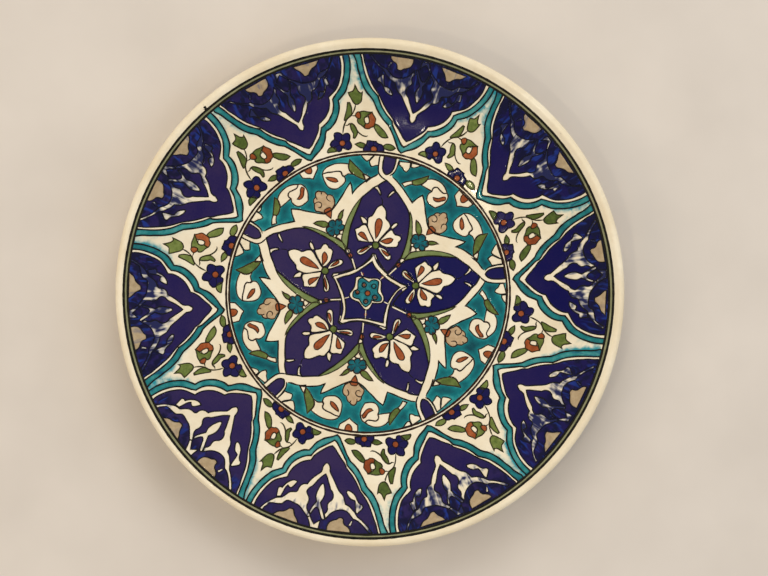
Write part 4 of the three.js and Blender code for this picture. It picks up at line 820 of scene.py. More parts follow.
flower_out, flower_in = spline(FLW_OUT), spline(FLW_IN)
rings = [dot(c, 18) for c in FLW_RINGS]; heart = dot(FLW_C, 18)
field("star_edge", star_out, holes=[star_in], lift=0.022, relief=0.0, spacing=0.9)
field("centre_star_glaze", star_in, holes=[flower_out], spacing=0.9, tint=0.75)
field("star_edge", flower_out, holes=[flower_in], lift=0.022, relief=0.0, spacing=0.8)
field("centre_flower_glaze", flower_in, holes=[heart], spacing=0.6, shoulder=0.8, tint=0.6)
for q, w in ((star_out, 0.42), (star_in, 0.5), (flower_out, 0.45), (flower_in, 0.45)): stroke("centre_lines", q, w, True)
field("flower_heart", heart, spacing=0.5, tint=0.5); stroke("centre_lines", heart, 0.4, True)
for q in rings: stroke("centre_lines", q, 0.52, True, base=0.03)
for c in FLW_RINGS:
    if c is not FLW_RINGS[1]: field("flower_seeds", dot((c[0], c[1], 0.62), 12), lift=0.14, relief=0.02, spacing=0.4, tint=0.3)
    d = np.array([c[0] - FLW_C[0], c[1] - FLW_C[1]]); d /= np.linalg.norm(d)
    stroke("centre_lines", np.array([[FLW_C[0], FLW_C[1]] + d * 1.4, [c[0], c[1]] - d * 1.1]), 0.3, base=0.03)

# ---- where two petals meet: cobalt between them, a white bead, a red bead and a white stem to the star
WHITE_BEADS = [(17.2, 16.1), (22.9, -12.0), (-3.7, -23.8), (-23.7, -4.1), (-9.4, 21.2)]
RED_BEADS = [(15.4, 13.9), (20.6, -10.8), (-2.8, -21.4), (-20.5, -3.1), (-8.4, 19.0)]
STEMS = [((14.2, 12.6), (10.6, 9.3)), ((19.0, -9.9), (12.2, -6.6)), (((-2.5, -19.4)), (-2.1, -14.6)), ((-18.4, -3.1), (-13.2, -3.0)), ((-7.6, 17.2), (-6.1, 12.2))]
INNER = [((7.9, 8.3), (6.3, 6.9)), ((10.6, -5.4), (8.2, -4.2)), ((-1.1, -12.4), (-0.9, -8.4)), ((-11.4, -2.4), (-9.2, -1.8)), ((-3.2, 10.6), (-2.4, 8.8))]
core = []
for k in range(5):
    for ang, r in ((ANGLES["P"][k], 17.0), (ANGLES["G"][k], 26.2)):
        core.append((r * math.cos(math.radians(ang)), r * math.sin(math.radians(ang))))
core = np.array(core)
core = core[np.argsort(np.arctan2(core[:, 1], core[:, 0]))]
core = np.vstack([core[i] + (core[(i + 1) % 10] - core[i]) * t for i in range(10) for t in np.linspace(0, 1, 14, endpoint=False)[:, None]])
beads = [dot((x, y, 1.15), 16) for x, y in WHITE_BEADS] + [dot((x, y, 1.2), 16) for x, y in RED_BEADS]
petals = [place("P", k, PETAL) for k in range(5)]
edgings = [place("P", k, g) for k in range(5) for g in (GREEN_R, GREEN_L)]
field("petal_core_glaze", core, holes=petals + edgings + [star_out] + beads, spacing=0.8, shoulder=0.6, tint=0.5)
for q in beads[:5]:
    field("junction_dots", q, lift=0.05, relief=0.02, spacing=0.6); stroke("junction_lines", q, 0.34, True)
for q in beads[5:]:
    field("junction_beads", q, lift=0.05, relief=0.04, spacing=0.6, tint=0.4); stroke("junction_lines", q, 0.34, True)
for i, (a_, b_) in enumerate(STEMS + INNER):
    path = np.array([np.array(a_) + (np.array(b_) - np.array(a_)) * t for t in np.linspace(0, 1, 6)])
    stroke("junction_lines", path, 1.05 if i < 5 else 0.85, height=0.09, taper=False)
    stroke("junction_stems", path, 0.62 if i < 5 else 0.4, height=0.12, taper=False)
for x, y in ((7.4, 8.0), (-2.6, 9.6), (-1.0, -10.4)):
    field("junction_beads", dot((x, y, 0.75), 12), lift=0.1, relief=0.03, spacing=0.4, tint=0.3)

# ---- turned lines: they stay even because the plate turned under a still brush
def circle(r, wob, seed, step=0.8):
    rng = np.random.default_rng(seed); m = int(2 * math.pi * r / step); t = np.linspace(0, 2 * math.pi, m, endpoint=False)
    rr = r + sum(wob / (i + 1) * np.sin((i + 2) * t + rng.uniform(0, 6.28)) for i in range(4))
    return np.stack([rr * np.cos(t), rr * np.sin(t)], 1)

TURNED = np.array([0.5, -0.15])          # the lines sit about this far off the lip's centre in the photograph; why isn't known (brush, wheel or camera)
stroke("rim_line_inner_glaze", circle(118.3, 0.05, 1) + TURNED, 1.02, True, most=1.1, height=0.13, uneven=0.08)
stroke("rim_line_outer_glaze", circle(120.15, 0.06, 2) + TURNED, 1.08, True, most=1.1, height=0.13, uneven=0.08)
stroke("rim_green_band_glaze", circle(119.2, 0.04, 3) + TURNED, 0.95, True, most=1.1, height=0.06, uneven=0.05)
stroke("rim_smudge", np.array([(-78.2, 89.6), (-79.0, 90.6), (-80.0, 91.6), (-80.7, 92.6)]), 0.9, height=0.05)
stroke("rim_smudge", np.array([(-76.6, 91.4), (-78.4, 90.7), (-80.4, 90.2)]), 0.7, height=0.05)
stroke("roundel_ring_glaze", circle(68.8, 0.05, 4) + TURNED * 0.5, 0.92, True, most=1.0, tint=0.5)
stroke("roundel_ring_glaze", circle(70.3, 0.05, 5) + TURNED * 0.5, 0.88, True, most=1.0, tint=0.5)

# ============================================================================ turned parts
def lathe(name, profile, seg, value=None):
    """Turns a closed outline of (r, z) about the axis. Points on the axis become poles."""
    prof = [(max(r, 0.0), z) for r, z in profile]
    t = np.linspace(0, 2 * math.pi, seg, endpoint=False); ct, st = np.cos(t), np.sin(t)
    verts, rows, nv = [], [], 0
    for r, z in prof:
        if r < 1e-6:
            verts.append(np.array([[0, 0, z]])); rows.append([nv]); nv += 1
        else:
            verts.append(np.column_stack([r * ct, r * st, np.full(seg, z)])); rows.append(list(range(nv, nv + seg))); nv += seg
    V = np.vstack(verts); faces = []
    m = len(prof)
    for i in range(m):
        a, b = rows[i], rows[(i + 1) % m]
        if len(a) == 1 and len(b) == 1: continue
        if len(a) == 1: faces += [(a[0], b[j], b[(j + 1) % seg]) for j in range(seg)]
        elif len(b) == 1: faces += [(a[j], b[0], a[(j + 1) % seg]) for j in range(seg)]
        else: faces += [(a[j], b[j], b[(j + 1) % seg], a[(j + 1) % seg]) for j in range(seg)]
    return V, faces


def on_face(V, mask):
    """Puts the marked vertices exactly on the face."""
    V[mask, 2] += face_z(V[mask, 0], V[mask, 1]) - face_z(np.hypot(V[mask, 0], V[mask, 1]), 0 * V[mask, 0])
    return V


def top_z(r): return float(face_z(np.array([r]), np.array([0.0]))[0])


lip = [(LIP_CR + LIP_R * math.cos(a), LIP_CZ + LIP_R * math.sin(a)) for a in np.radians(np.linspace(88, -36, 19))]
face_r = [0.0] + list(np.arange(1.6, 121.9, 1.15)) + [122.2]
slip_top = [(r, top_z(r)) for r in face_r]
slip_under = [(124.05, 28.75), (123.2, 30.6), (121.6, 30.9)] + [(r, top_z(r) - 0.55) for r in np.arange(119.5, 1.0, -4.0)] + [(0.0, top_z(0.0) - 0.55)]
V, F = lathe("slip", slip_top + lip + slip_under, 480)
n_top = 1 + (len(slip_top) - 1) * 480
mask = np.zeros(len(V), bool); mask[:n_top] = True
V[mask, 2] = face_z(V[mask, 0], V[mask, 1])
mask2 = np.zeros(len(V), bool); mask2[n_top + len(lip) * 480:] = True
V[mask2, 2] += undulate(V[mask2, 0], V[mask2, 1]) * np.clip((124 - np.hypot(V[mask2, 0], V[mask2, 1])) / 6, 0, 1) - undulate(np.hypot(V[mask2, 0], V[mask2, 1]), 0)* np.clip((124 - np.hypot(V[mask2, 0], V[mask2, 1])) / 6, 0, 1)
# turquoise that seeped past the ribbons into the slip
p2 = V[:, :2] - SHIFT; rr = np.hypot(p2[:, 0], p2[:, 1]); bleed = np.zeros(len(V))
SEEP = [0.4, 0.8, 0.85, 0.6, 0.4, 0.85, 0.75, 0.4, 0.55, 0.95]
for q, k in bleed_src:
    a0 = math.radians(ANGLES["C"][k]); da = (np.arctan2(p2[:, 1], p2[:, 0]) - a0 + math.pi) % (2 * math.pi) - math.pi
    sel = np.flatnonzero((rr > 70.6) & (rr < 118.5) & (np.abs(da) < 0.42))
    if len(sel):
        d = nearest(p2[sel], thin_out(q, False, 1.2, 0.5)); near_rim = np.clip((rr[sel] - 84) / 20, 0, 1)
        bleed[sel] = np.maximum(bleed[sel], SEEP[k] * np.exp(-(d / (1.1 + 1.3 * near_rim)) ** 2) * (0.25 + 0.75 * near_rim))
for q in [star_out]: pass
store("face_slip_glaze", V, F, [True] * len(F), np.clip((rr - 120.9) / 1.5, 0, 1), 0.5, bleed)

under = [(124.58, 28.5), (124.35, 28.1), (123.9, 27.65), (123.2, 27.1), (121.6, 25.9), (119.4, 24.4), (117.2, 22.95), (115, 21.5), (112, 19.7), (109, 18.0), (106, 16.35), (103, 14.8),
         (99.7, 13.25), (96.4, 11.85), (93.2, 10.6), (90, 9.4), (86.7, 8.35), (83.4, 7.45), (80.2, 6.65), (77, 5.9), (74.4, 5.3), (72, 4.85), (70.4, 4.55), (69.6, 4.25), (69.15, 3.6), (68.95, 2.4), (68.9, 1.2)]
inner_u = [(r - 0.35 * 0.55, z + 0.35 * 0.85) for r, z in under]
V, F = lathe("back", under + [(68.55, 1.2)] + inner_u[::-1][1:], 384)
ring = 0.07 * np.sin(V[:, 2] * 3.1 + np.hypot(V[:, 0], V[:, 1]) * 0.9)          # faint turning rings
rad = np.hypot(V[:, 0], V[:, 1]); k_ = np.clip((122 - rad) / 6, 0, 1) * np.clip((rad - 72) / 5, 0, 1)
V[:, 2] += ring * k_ * 0.6
store("back_glaze_coat", V, F, [True] * len(F), np.clip((rad - 119) / 4, 0, 1), 0.4, np.clip((72.5 - rad) / 3, 0, 1))

recess = [(0.0, 3.4), (12, 3.4), (24, 3.42), (36, 3.42), (48, 3.4), (56, 3.42), (59.5, 3.4), (60.8, 3.36), (61.6, 3.2), (62.1, 2.9), (62.4, 2.4), (62.65, 1.6), (63.0, 1.15)]
recess_up = [(63.35, 1.2), (63.0, 1.8), (62.75, 2.6), (62.4, 3.2), (61.8, 3.6), (60.9, 3.74), (56, 3.8), (36, 3.8), (12, 3.78), (0.0, 3.78)]
V, F = lathe("recess", [(r, z) for r, z in recess] + recess_up, 256)
F = [tuple(reversed(f)) for f in F]
store("recess_glaze_coat", V, F, [True] * len(F), np.ones(len(V)), 0.4, 0.0)

foot = [(68.75, 1.25), (68.65, 0.75), (68.45, 0.3), (68.2, 0.06), (67.9, 0.0), (64.7, 0.0), (64.4, 0.06), (64.0, 0.35), (63.55, 0.9), (63.3, 1.3)]
core = [(0.0, 3.7)] + [(60.9, 3.68), (62.0, 3.3), (62.75, 2.5), (63.2, 1.4)][::1]
body_top = [(r, top_z(r) - 0.5) for r in np.arange(118.0, 3.0, -5.0)] + [(0.0, top_z(0) - 0.5)]
prof = [(0.0, 3.72), (30, 3.72), (60.7, 3.66), (61.9, 3.3), (62.6, 2.6), (63.0, 1.9)] + foot[::-1] + [(68.7, 2.4), (68.9, 3.7), (69.5, 4.5)] + \
       [(r - 0.14, z + 0.2) for r, z in under[::-1][4:-3]] + [(123.9, 28.3), (123.8, 28.8), (122.9, 30.2), (121.5, 30.4)] + body_top
V, F = lathe("body", prof, 256)
F = [tuple(reversed(f)) for f in F]
rad = np.hypot(V[:, 0], V[:, 1])
store("thrown_clay_body", V, F, [True] * len(F), np.ones(len(V)), 0.5, np.clip((0.5 - V[:, 2]) / 0.5, 0, 1))

# ============================================================================ materials
def lin(c):
    return tuple(((v / 255) / 12.92 if v / 255 <= 0.04045 else ((v / 255 + 0.055) / 1.055) ** 2.4) for v in c) + (1.0,)


class Net:
    """A little help to wire a material."""

    def __init__(self, name):
        self.m = bpy.data.materials.new(name); self.m.use_nodes = True
        self.t = self.m.node_tree; self.t.nodes.clear()
        self.out = self.t.nodes.new("ShaderNodeOutputMaterial"); self.b = self.t.nodes.new("ShaderNodeBsdfPrincipled")
        self.t.links.new(self.b.outputs[0], self.out.inputs[0])
        self.obj = self.t.nodes.new("ShaderNodeTexCoord").outputs["Object"]

    def put(self, node, socket, value):
        if isinstance(value, bpy.types.NodeSocket): self.t.links.new(value, node.inputs[socket])
        else: node.inputs[socket].default_value = value

    def noise(self, mm, detail=3, rough=0.55, vec=None, dist=0.0):
        n = self.t.nodes.new("ShaderNodeTexNoise"); n.inputs["Scale"].default_value = 1000.0 / mm if vec is None else 1.0
        n.inputs["Detail"].default_value = detail; n.inputs["Roughness"].default_value = rough; n.inputs["Distortion"].default_value = dist
        self.put(n, "Vector", self.obj if vec is None else vec)
        return n.outputs["Fac"]

    def math(self, op, a, b=0.0, c=0.0, clamp=False):
        n = self.t.nodes.new("ShaderNodeMath"); n.operation = op; n.use_clamp = clamp
        for i, v in enumerate((a, b, c)): self.put(n, i, v)
        return n.outputs[0]

    def attr(self, name):
        n = self.t.nodes.new("ShaderNodeAttribute"); n.attribute_type = "GEOMETRY"; n.attribute_name = name
        return n.outputs["Fac"]

    def ramp(self, fac, stops, interp="LINEAR"):
        n = self.t.nodes.new("ShaderNodeValToRGB"); n.color_ramp.interpolation = interp
        e = n.color_ramp.elements
        while len(e) < len(stops): e.new(0.5)
        for el, (p, c) in zip(e, stops): el.position = p; el.color = c
        self.put(n, 0, fac)
        return n.outputs["Color"]

    def mix(self, fac, a, b, mode="MIX"):
        n = self.t.nodes.new("ShaderNodeMix"); n.data_type = "RGBA"; n.blend_type = mode
        self.put(n, 0, fac); self.put(n, 6, a); self.put(n, 7, b)
        return n.outputs[2]

    def step(self, x, lo, hi):
        n = self.t.nodes.new("ShaderNodeMapRange"); n.interpolation_type = "SMOOTHSTEP"
        self.put(n, 0, x); self.put(n, 1, lo); self.put(n, 2, hi); n.inputs[3].default_value = 0.0; n.inputs[4].default_value = 1.0
        return n.outputs[0]

    def streaks(self, across, along):
        """Noise drawn out along the slope, as glaze runs: across and along in mm."""
        s = self.t.nodes.new("ShaderNodeSeparateXYZ"); self.t.links.new(self.obj, s.inputs[0])
        x, y = s.outputs[0], s.outputs[1]
        r = self.math("SQRT", self.math("ADD", self.math("MULTIPLY", x, x), self.math("MULTIPLY", y, y)))
        a = self.math("ARCTAN2", y, x)
        c = self.t.nodes.new("ShaderNodeCombineXYZ")
        self.put(c, 0, self.math("MULTIPLY", a, 108.0 / across)); self.put(c, 1, self.math("MULTIPLY", r, 1000.0 / along)); self.put(c, 2, self.math("MULTIPLY", s.outputs[2], 40.0))
        return self.noise(1, 2, 0.5, c.outputs[0], 0.6)

    def bump(self, height, mm, strength=1.0, normal=None):
        n = self.t.nodes.new("ShaderNodeBump"); n.inputs["Distance"].default_value = mm / 1000.0; n.inputs["Strength"].default_value = strength
        self.put(n, "Height", height)
        if normal is not None: self.put(n, "Normal", normal)
        return n.outputs[0]

    def end(self, colour, rough=(0.1, 0.2), rough_fac=None, coat=0.25, coat_rough=0.03, normal=None, ior=1.5, spec=0.16):
        self.put(self.b, "Base Color", colour)
        if rough_fac is not None:
            n = self.t.nodes.new("ShaderNodeMapRange"); self.put(n, 0, rough_fac); n.inputs[1].default_value = 0.25; n.inputs[2].default_value = 0.75
            n.inputs[3].default_value = rough[0]; n.inputs[4].default_value = rough[1]; self.put(self.b, "Roughness", n.outputs[0])
        else: self.b.inputs["Roughness"].default_value = rough[0]
        self.b.inputs["IOR"].default_value = ior; self.b.inputs["Specular IOR Level"].default_value = spec
        self.b.inputs["Coat Weight"].default_value = coat; self.b.inputs["Coat Roughness"].default_value = coat_rough
        if normal is not None: self.put(self.b, "Normal", normal)
        return self.m


def scaled(c, f): return (c[0] * f, c[1] * f, c[2] * f, 1.0)


def glaze(name, low, mid, high, rim, cloud=7.0, fine=0.9, run_to=None, run_far=None, run_amount=0.75, rim_mix=0.7, rim_to=0.32, rough=(0.12, 0.22), grain=0.35, coat=0.16, spread=0.5, spec=0.12, pool=0.0):
    """Melted coloured glaze: clouds where it pooled, brush mottling, a paler or darker seam along its edge, and where it ran, the colour it ran to."""
    g = Net(name)
    clouds, mott = g.noise(cloud, 2, 0.5), g.noise(fine, 3, 0.6, dist=0.3)
    v = g.math("ADD", g.math("MULTIPLY", g.math("SUBTRACT", clouds, 0.5), 1.3 * spread), g.math("MULTIPLY", g.math("SUBTRACT", mott, 0.5), grain))
    if pool:
        v = g.math("SUBTRACT", v, g.math("MULTIPLY", g.math("SUBTRACT", g.attr("edge"), 0.35), pool))
    v = g.math("ADD", v, g.attr("tint"), clamp=True)
    col = g.ramp(v, [(0.0, low), (0.5, mid), (1.0, high)])
    e = g.step(g.math("ADD", g.attr("edge"), g.math("MULTIPLY", g.math("SUBTRACT", mott, 0.5), 0.25)), 0.0, rim_to)
    col = g.mix(g.math("MULTIPLY", g.math("SUBTRACT", 1.0, e), rim_mix), col, rim)
    if run_to is not None:
        st = g.streaks(2.6, 8.0)
        w = g.attr("wash")
        f1 = g.math("MULTIPLY", g.step(g.math("ADD", st, g.math("MULTIPLY", w, 0.04)), 0.56, 0.72), g.math("MULTIPLY", g.step(w, 0.05, 0.5), run_amount))
        if run_far is not None:
            st2 = g.noise(4.6, 1, 0.5, dist=0.6)
            f2 = g.math("MULTIPLY", g.step(st2, 0.36, 0.56), g.math("MULTIPLY", g.step(w, 0.05, 0.5), 0.9))
            col = g.mix(f2, col, run_far)
        col = g.mix(f1, col, run_to)
    peel = g.noise(2.1, 1, 0.4); tiny = g.noise(0.35, 2, 0.5)
    nrm = g.bump(g.math("ADD", g.math("MULTIPLY", peel, 1.0), g.math("MULTIPLY", tiny, 0.25)), 0.035, 0.6)
    return g.end(col, rough, mott, coat, 0.03, nrm, spec=spec)


IVORY, IVORY_HI, IVORY_LO = lin((236, 223, 194)), lin((243, 234, 210)), lin((224, 207, 172))
COBALT = glaze("cobalt_glaze", lin((50, 37, 78)), lin((29, 20, 76)), lin((4, 2, 72)), lin((18, 12, 48)), cloud=11.0, fine=0.8, run_to=lin((24, 48, 128)), run_far=lin((6, 7, 44)), rim_mix=0.4, grain=0.6, run_amount=0.9)
BLOSSOM = glaze("blossom_cobalt", lin((38, 28, 78)), lin((20, 15, 72)), lin((7, 6, 70)), lin((8, 6, 30)), cloud=5.0, fine=0.6, rim_mix=0.5, grain=0.5)
TURQ = glaze("turquoise_ribbon", lin((10, 80, 90)), lin((32, 122, 124)), lin((88, 162, 158)), lin((10, 76, 86)), cloud=5.0, fine=0.8, run_to=lin((14, 70, 110)), rim_mix=0.55, rim_to=0.3, spread=0.8, pool=-0.5)
TURQ_G = glaze("turquoise_ground", lin((0, 62, 74)), lin((4, 112, 118)), lin((60, 166, 164)), lin((112, 184, 176)), cloud=8.0, fine=0.9, rim_mix=0.5, rim_to=0.22, spread=0.85, pool=0.4)
TURQ_D = glaze("turquoise_deep", lin((2, 56, 68)), lin((10, 98, 108)), lin((52, 144, 148)), lin((20, 96, 102)), cloud=2.4, fine=0.6, rim_mix=0.3, spread=0.8)
GREEN = glaze("leaf_green", lin((56, 72, 28)), lin((92, 108, 48)), lin((130, 142, 76)), lin((54, 58, 22)), cloud=2.6, fine=0.5, rim_mix=0.4, spread=0.8, grain=0.5)
GREEN_P = glaze("edging_green", lin((80, 96, 48)), lin((114, 128, 76)), lin((144, 154, 104)), lin((76, 84, 44)), cloud=4.0, fine=0.5, rim_mix=0.35, spread=0.7)
RED = glaze("bole_red", lin((112, 50, 20)), lin((148, 74, 34)), lin((176, 104, 62)), lin((92, 44, 20)), cloud=2.2, fine=0.45, rim_mix=0.35, spread=0.8, grain=0.5, rough=(0.2, 0.34), coat=0.12)
TAN = glaze("tan_wash", lin((146, 124, 92)), lin((176, 154, 120)), lin((200, 182, 148)), lin((130, 108, 80)), cloud=3.0, fine=0.6, run_to=lin((84, 92, 120)), rim_mix=0.35, run_amount=0.6, spread=0.7)
PINK = glaze("bud_wash", lin((158, 128, 96)), lin((188, 160, 124)), lin((212, 190, 156)), lin((150, 120, 90)), cloud=2.2, fine=0.5, rim_mix=0.3, spread=0.8)
RIMGREEN = glaze("rim_grey_green", lin((92, 96, 66)), lin((134, 134, 98)), lin((176, 168, 130)), lin((96, 98, 70)), cloud=6.0, fine=0.5, rim_mix=0.1, grain=0.6)


def pale(name, seep=None, run=False, lip=False):
    """White slip under clear glaze: warm blotches, a few iron specks, and where colour seeped or ran over it, that colour."""
    g = Net(name)
    big, mid, tiny = g.noise(24, 3, 0.5), g.noise(4.5, 3, 0.6), g.noise(0.7, 2, 0.5)
    col = g.ramp(g.math("ADD", g.math("MULTIPLY", big, 0.65), g.math("MULTIPLY", mid, 0.35)), [(0.3, IVORY_LO), (0.5, IVORY), (0.72, IVORY_HI)])
    vor = g.t.nodes.new("ShaderNodeTexVoronoi"); vor.inputs["Scale"].default_value = 1000 / 6.5; g.put(vor, "Vector", g.obj)
    speck = g.math("MULTIPLY", g.math("SUBTRACT", 1.0, g.step(vor.outputs["Distance"], 0.018, 0.05)), g.step(mid, 0.55, 0.62))
    col = g.mix(g.math("MULTIPLY", speck, 0.5), col, lin((96, 70, 44)))
    if seep is not None:
        w = g.attr("wash"); st = g.noise(3.2, 2, 0.5, dist=0.5)
        f = g.step(g.math("ADD", w, g.math("MULTIPLY", g.math("SUBTRACT", st, 0.5), 0.9)), 0.12, 0.85)
        f = g.math("MULTIPLY", f, g.step(w, 0.02, 0.3))
        col = g.mix(f, col, g.mix(f, lin((150, 196, 188)), seep))
    if run:
        w = g.attr("wash"); st = g.math("ADD", g.math("MULTIPLY", g.streaks(2.5, 12.0), 0.55), g.math("MULTIPLY", g.noise(4.6, 1, 0.4, dist=0.5), 0.45))
        f = g.step(g.math("ADD", g.math("MULTIPLY", w, 1.2), g.math("MULTIPLY", g.math("SUBTRACT", st, 0.5), 2.2)), 0.36, 0.8)
        f = g.math("MULTIPLY", f, g.step(w, 0.02, 0.35))
        col = g.mix(f, col, g.mix(f, lin((120, 138, 166)), lin((12, 20, 74))))
    rough_v = mid
    if lip:
        e = g.attr("edge")
        col = g.mix(g.math("MULTIPLY", g.math("MULTIPLY", e, g.step(mid, 0.42, 0.62)), 0.22), col, lin((206, 184, 144)))
    nrm = g.bump(g.math("ADD", g.noise(2.6, 1, 0.4), g.math("MULTIPLY", tiny, 0.2)), 0.03, 0.6)
    return g.end(col, (0.12, 0.24), rough_v, 0.3, 0.04, nrm, spec=0.3)


SLIP = pale("white_slip_face", seep=lin((30, 140, 152)), lip=True)
RESERVE = pale("reserve_white", run=True)
PLAIN = pale("plain_white")


def ink(name, a, b, blue=None):
    g = Net(name)
    v = g.math("ADD", g.math("MULTIPLY", g.math("SUBTRACT", g.noise(1.4, 3, 0.6), 0.5), 0.9), g.attr("tint"), clamp=True)
    col = g.ramp(v, [(0.15, a), (0.85, b)])
    if blue is not None:
        w = g.attr("wash"); f = g.math("MULTIPLY", g.step(g.math("ADD", w, g.math("MULTIPLY", g.math("SUBTRACT", g.noise(4, 2, 0.5), 0.5), 1.2)), 0.25, 0.9), 0.75)
        col = g.mix(f, col, blue)
    return g.end(col, (0.2, 0.34), g.noise(0.8, 2, 0.5), 0.1, 0.05, g.bump(g.noise(0.5, 2, 0.5), 0.02, 0.5), spec=0.12)


BLACK = ink("outline_black", lin((12, 12, 9)), lin((30, 27, 18)), lin((8, 9, 36)))
OLIVE = ink("outline_olive", lin((20, 20, 8)), lin((50, 44, 16)))
BROWN = ink("outline_brown", lin((20, 14, 9)), lin((56, 33, 16)))
NAVY = ink("outline_navy", lin((10, 9, 20)), lin((28, 24, 44)))


def clay():
    g = Net("fritware_clay")
    big, grit = g.noise(14, 3, 0.6), g.noise(0.45, 4, 0.65)
    col = g.ramp(g.math("ADD", g.math("MULTIPLY", big, 0.5), g.math("MULTIPLY", grit, 0.5)), [(0.3, lin((188, 158, 122))), (0.5, lin((208, 180, 144))), (0.7, lin((224, 202, 170)))])
    col = g.mix(g.math("MULTIPLY", g.attr("wash"), g.math("MULTIPLY", g.step(g.noise(3, 3, 0.6), 0.42, 0.6), 0.55)), col, lin((120, 100, 80)))   # shelf grime where it rests
    return g.end(col, (0.72, 0.9), grit, 0.0, 0.3, g.bump(grit, 0.12, 0.8), 1.45, 0.35)


def back():
    g = Net("clear_back_glaze")
    big, mid = g.noise(30, 3, 0.55), g.noise(5, 3, 0.6)
    col = g.ramp(g.math("ADD", g.math("MULTIPLY", big, 0.7), g.math("MULTIPLY", mid, 0.3)), [(0.3, lin((214, 198, 164))), (0.5, lin((230, 217, 188))), (0.7, lin((238, 228, 204)))])
    col = g.mix(g.math("MULTIPLY", g.attr("wash"), 0.55), col, lin((176, 158, 120)))          # thick honeyed glaze where it ran down to the foot
    s = g.t.nodes.new("ShaderNodeSeparateXYZ"); g.t.links.new(g.obj, s.inputs[0])
    r = g.math("SQRT", g.math("ADD", g.math("MULTIPLY", s.outputs[0], s.outputs[0]), g.math("MULTIPLY", s.outputs[1], s.outputs[1])))
    rings_ = g.math("SINE", g.math("ADD", g.math("MULTIPLY", r, 2100.0), g.math("MULTIPLY", big, 5.0)))
    vor = g.t.nodes.new("ShaderNodeTexVoronoi"); vor.inputs["Scale"].default_value = 1000 / 9.0; g.put(vor, "Vector", g.obj)
    speck = g.math("MULTIPLY", g.math("SUBTRACT", 1.0, g.step(vor.outputs["Distance"], 0.02, 0.05)), g.step(mid, 0.5, 0.6))
    col = g.mix(g.math("MULTIPLY", speck, 0.6), col, lin((90, 66, 40)))
    h = g.math("ADD", g.math("MULTIPLY", rings_, 0.5), g.math("MULTIPLY", g.noise(3, 2, 0.5), 1.0))
    return g.end(col, (0.14, 0.28), mid, 0.5, 0.06, g.bump(h, 0.05, 0.5))


CLAY, BACK = clay(), back()

# ============================================================================ the pieces
def build(name):
    b = BINS[name]
    V = np.vstack(b["v"]) * MM
    me = bpy.data.meshes.new(name); me.from_pydata(V.tolist(), [], b["f"])
    me.polygons.foreach_set("use_smooth", np.array(b["s"], bool))
    for key, attr in (("e", "edge"), ("t", "tint"), ("w", "wash")):
        a = me.attributes.new(attr, "FLOAT", "POINT"); a.data.foreach_set("value", np.concatenate(b[key]).astype(np.float32))
    me.validate(); me.update()
    o = bpy.data.objects.new(name, me); bpy.context.scene.collection.objects.link(o)
    return o


def rule(name):
    """(material, CAD nodes it stands for, slot) of a piece."""
    num = name.split("_")
    if name == "face_slip_glaze": return SLIP, ["white_face_slip"], "white_slip"
    if name == "thrown_clay_body": return CLAY, ["clay_body"], "fritware_clay"
    if name == "back_glaze_coat": return BACK, ["back_glaze"], "clear_back_glaze"
    if name == "recess_glaze_coat": return BACK, ["foot_recess_glaze"], "clear_back_glaze"
    if name.startswith("cartouche_ribbon"): return TURQ, [name[:-6]], "turquoise"
    if name.startswith("cartouche_cobalt"): return COBALT, [name[:-6]], "cobalt"
    if name.startswith("cartouche_reserve"): return RESERVE, [], "white_slip"
    if name.startswith("spray_blossom"): return BLOSSOM, [name[:-6]], "cobalt"
    if name == "petal_core_glaze": return COBALT, [], "cobalt"
    if name.startswith(("rosette_petal", "roundel_tab", "centre_star")): return COBALT, [name[:-6]], "cobalt"
    if name.startswith("roundel_ground"): return TURQ_G, [name[:-6]], "turquoise"
    if name == "centre_flower_glaze": return TURQ_D, ["centre_flower"], "turquoise"
    if name in ("rim_line_inner_glaze", "rim_line_outer_glaze"): return BLACK, [name[:-6]], "outline_black"
    if name == "rim_green_band_glaze": return RIMGREEN, ["rim_green_band"], "rim_green"
    if name == "roundel_ring_glaze": return BROWN, ["roundel_ring"], "outline_black"
    if name.startswith(("cartouche_lines", "roundel_lines", "palmette_lines", "centre_lines", "junction_lines", "rim_smudge")): return BLACK, [], "outline_black"
    if name == "blossom_lines": return NAVY, [], "outline_black"
    if name.startswith(("spray_lines", "petal_edging_lines")): return OLIVE, [], "outline_black"
    if name.startswith("ground_lines"): return BROWN, [], "outline_black"
    if name == "rim_blossoms": return TAN, [], "white_slip"
    if name in ("spray_leaves", "roundel_leaves", "palmette_hubs"): return GREEN, [], "rim_green"
    if name == "petal_edging": return GREEN_P, [], "rim_green"
    if name in ("spray_rosebuds", "blossom_hearts", "palmette_drops", "tulip_hearts", "bud_tips", "flower_heart", "flower_seeds", "junction_beads"): return RED, [], "outline_black"
    if name == "roundel_buds": return PINK, [], "white_slip"
    if name == "arch_blossoms": return TURQ_D, [], "turquoise"
    return PLAIN, [], "white_slip"


total = 0
for name in sorted(BINS):
    mat, nodes, slot = rule(name)
    o = build(name); o.data.materials.append(mat); total += sum(len(p.vertices) - 2 for p in o.data.polygons)
    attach(o, "root")
    if nodes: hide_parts(*nodes)
print("pieces", len(BINS), "triangles", total)

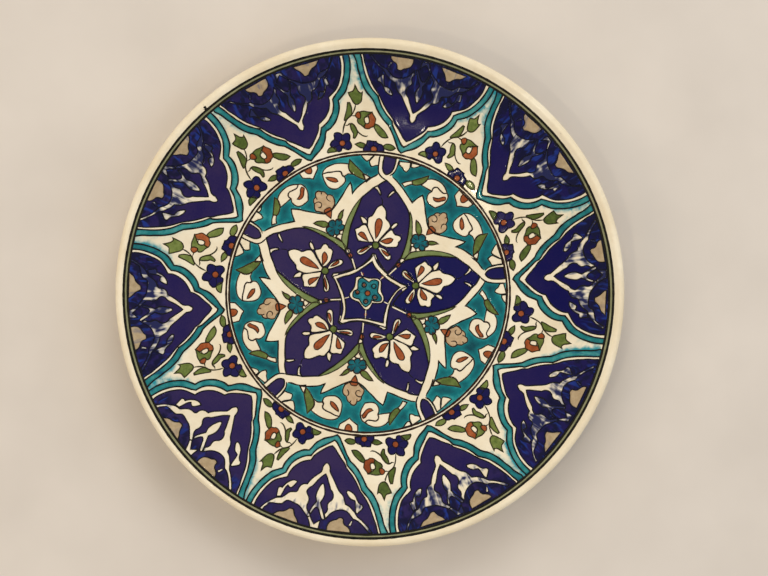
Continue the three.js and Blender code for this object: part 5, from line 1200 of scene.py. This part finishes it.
# ============================================================================ stage, light, camera
bm = bmesh.new(); bmesh.ops.create_grid(bm, x_segments=24, y_segments=24, size=3.0)
me = bpy.data.meshes.new("floor"); bm.to_mesh(me); bm.free()
floor = bpy.data.objects.new("floor", me); bpy.context.scene.collection.objects.link(floor)
g = Net("floor_pale"); fl = g.noise(60, 3, 0.5)
floor.data.materials.append(g.end(g.ramp(fl, [(0.3, lin((210, 202, 192))), (0.7, lin((218, 210, 200)))]), (0.75, 0.85), fl, 0.0, 0.3))

world = bpy.data.worlds.new("studio"); bpy.context.scene.world = world; world.use_nodes = True
wt = world.node_tree; bg = wt.nodes["Background"]; bg.inputs[1].default_value = WORLD_STRENGTH
tc = wt.nodes.new("ShaderNodeTexCoord"); sz = wt.nodes.new("ShaderNodeSeparateXYZ"); rp = wt.nodes.new("ShaderNodeValToRGB")
wt.links.new(tc.outputs["Generated"], sz.inputs[0]); wt.links.new(sz.outputs[2], rp.inputs[0]); wt.links.new(rp.outputs[0], bg.inputs[0])
for el, (p_, v_) in zip([rp.color_ramp.elements[0], rp.color_ramp.elements[1], rp.color_ramp.elements.new(0.9)], ((0.25, 1.0), (0.985, 0.16), (0.8, 0.62))):
    el.position = p_; el.color = (v_, v_ * 0.98, v_ * 0.95, 1)


def area(name, loc, size, watts, colour, size_y=None):
    l = bpy.data.lights.new(name, "AREA"); l.shape = "RECTANGLE"; l.size = size; l.size_y = size_y or size; l.energy = watts; l.color = lin(colour)[:3]
    o = bpy.data.objects.new(name, l); bpy.context.scene.collection.objects.link(o); o.location = loc
    o.rotation_mode = "QUATERNION"; o.rotation_quaternion = (-Vector(loc)).to_track_quat("-Z", "Y"); o.visible_camera = False
    o.visible_glossy = name.startswith("lamp")
    return o


for a in LIGHTS: area(*a)

cam = bpy.data.cameras.new("camera"); cam.lens = 240.0; cam.sensor_width = 36.0; cam.clip_start = 0.05; cam.clip_end = 50
PX = 0.491 * MM                                    # one pixel of the 768 x 576 frame, at the height of the rim
reach = 768 * PX / 2 / (18.0 / cam.lens)
co = bpy.data.objects.new("camera", cam); bpy.context.scene.collection.objects.link(co)
co.location = (CAM_X, CAM_Y, 0.0305 + reach); co.rotation_euler = (0, 0, 0)
bpy.context.scene.camera = co
bpy.context.scene.view_settings.view_transform = "Standard"
bpy.context.scene.view_settings.look = "None"
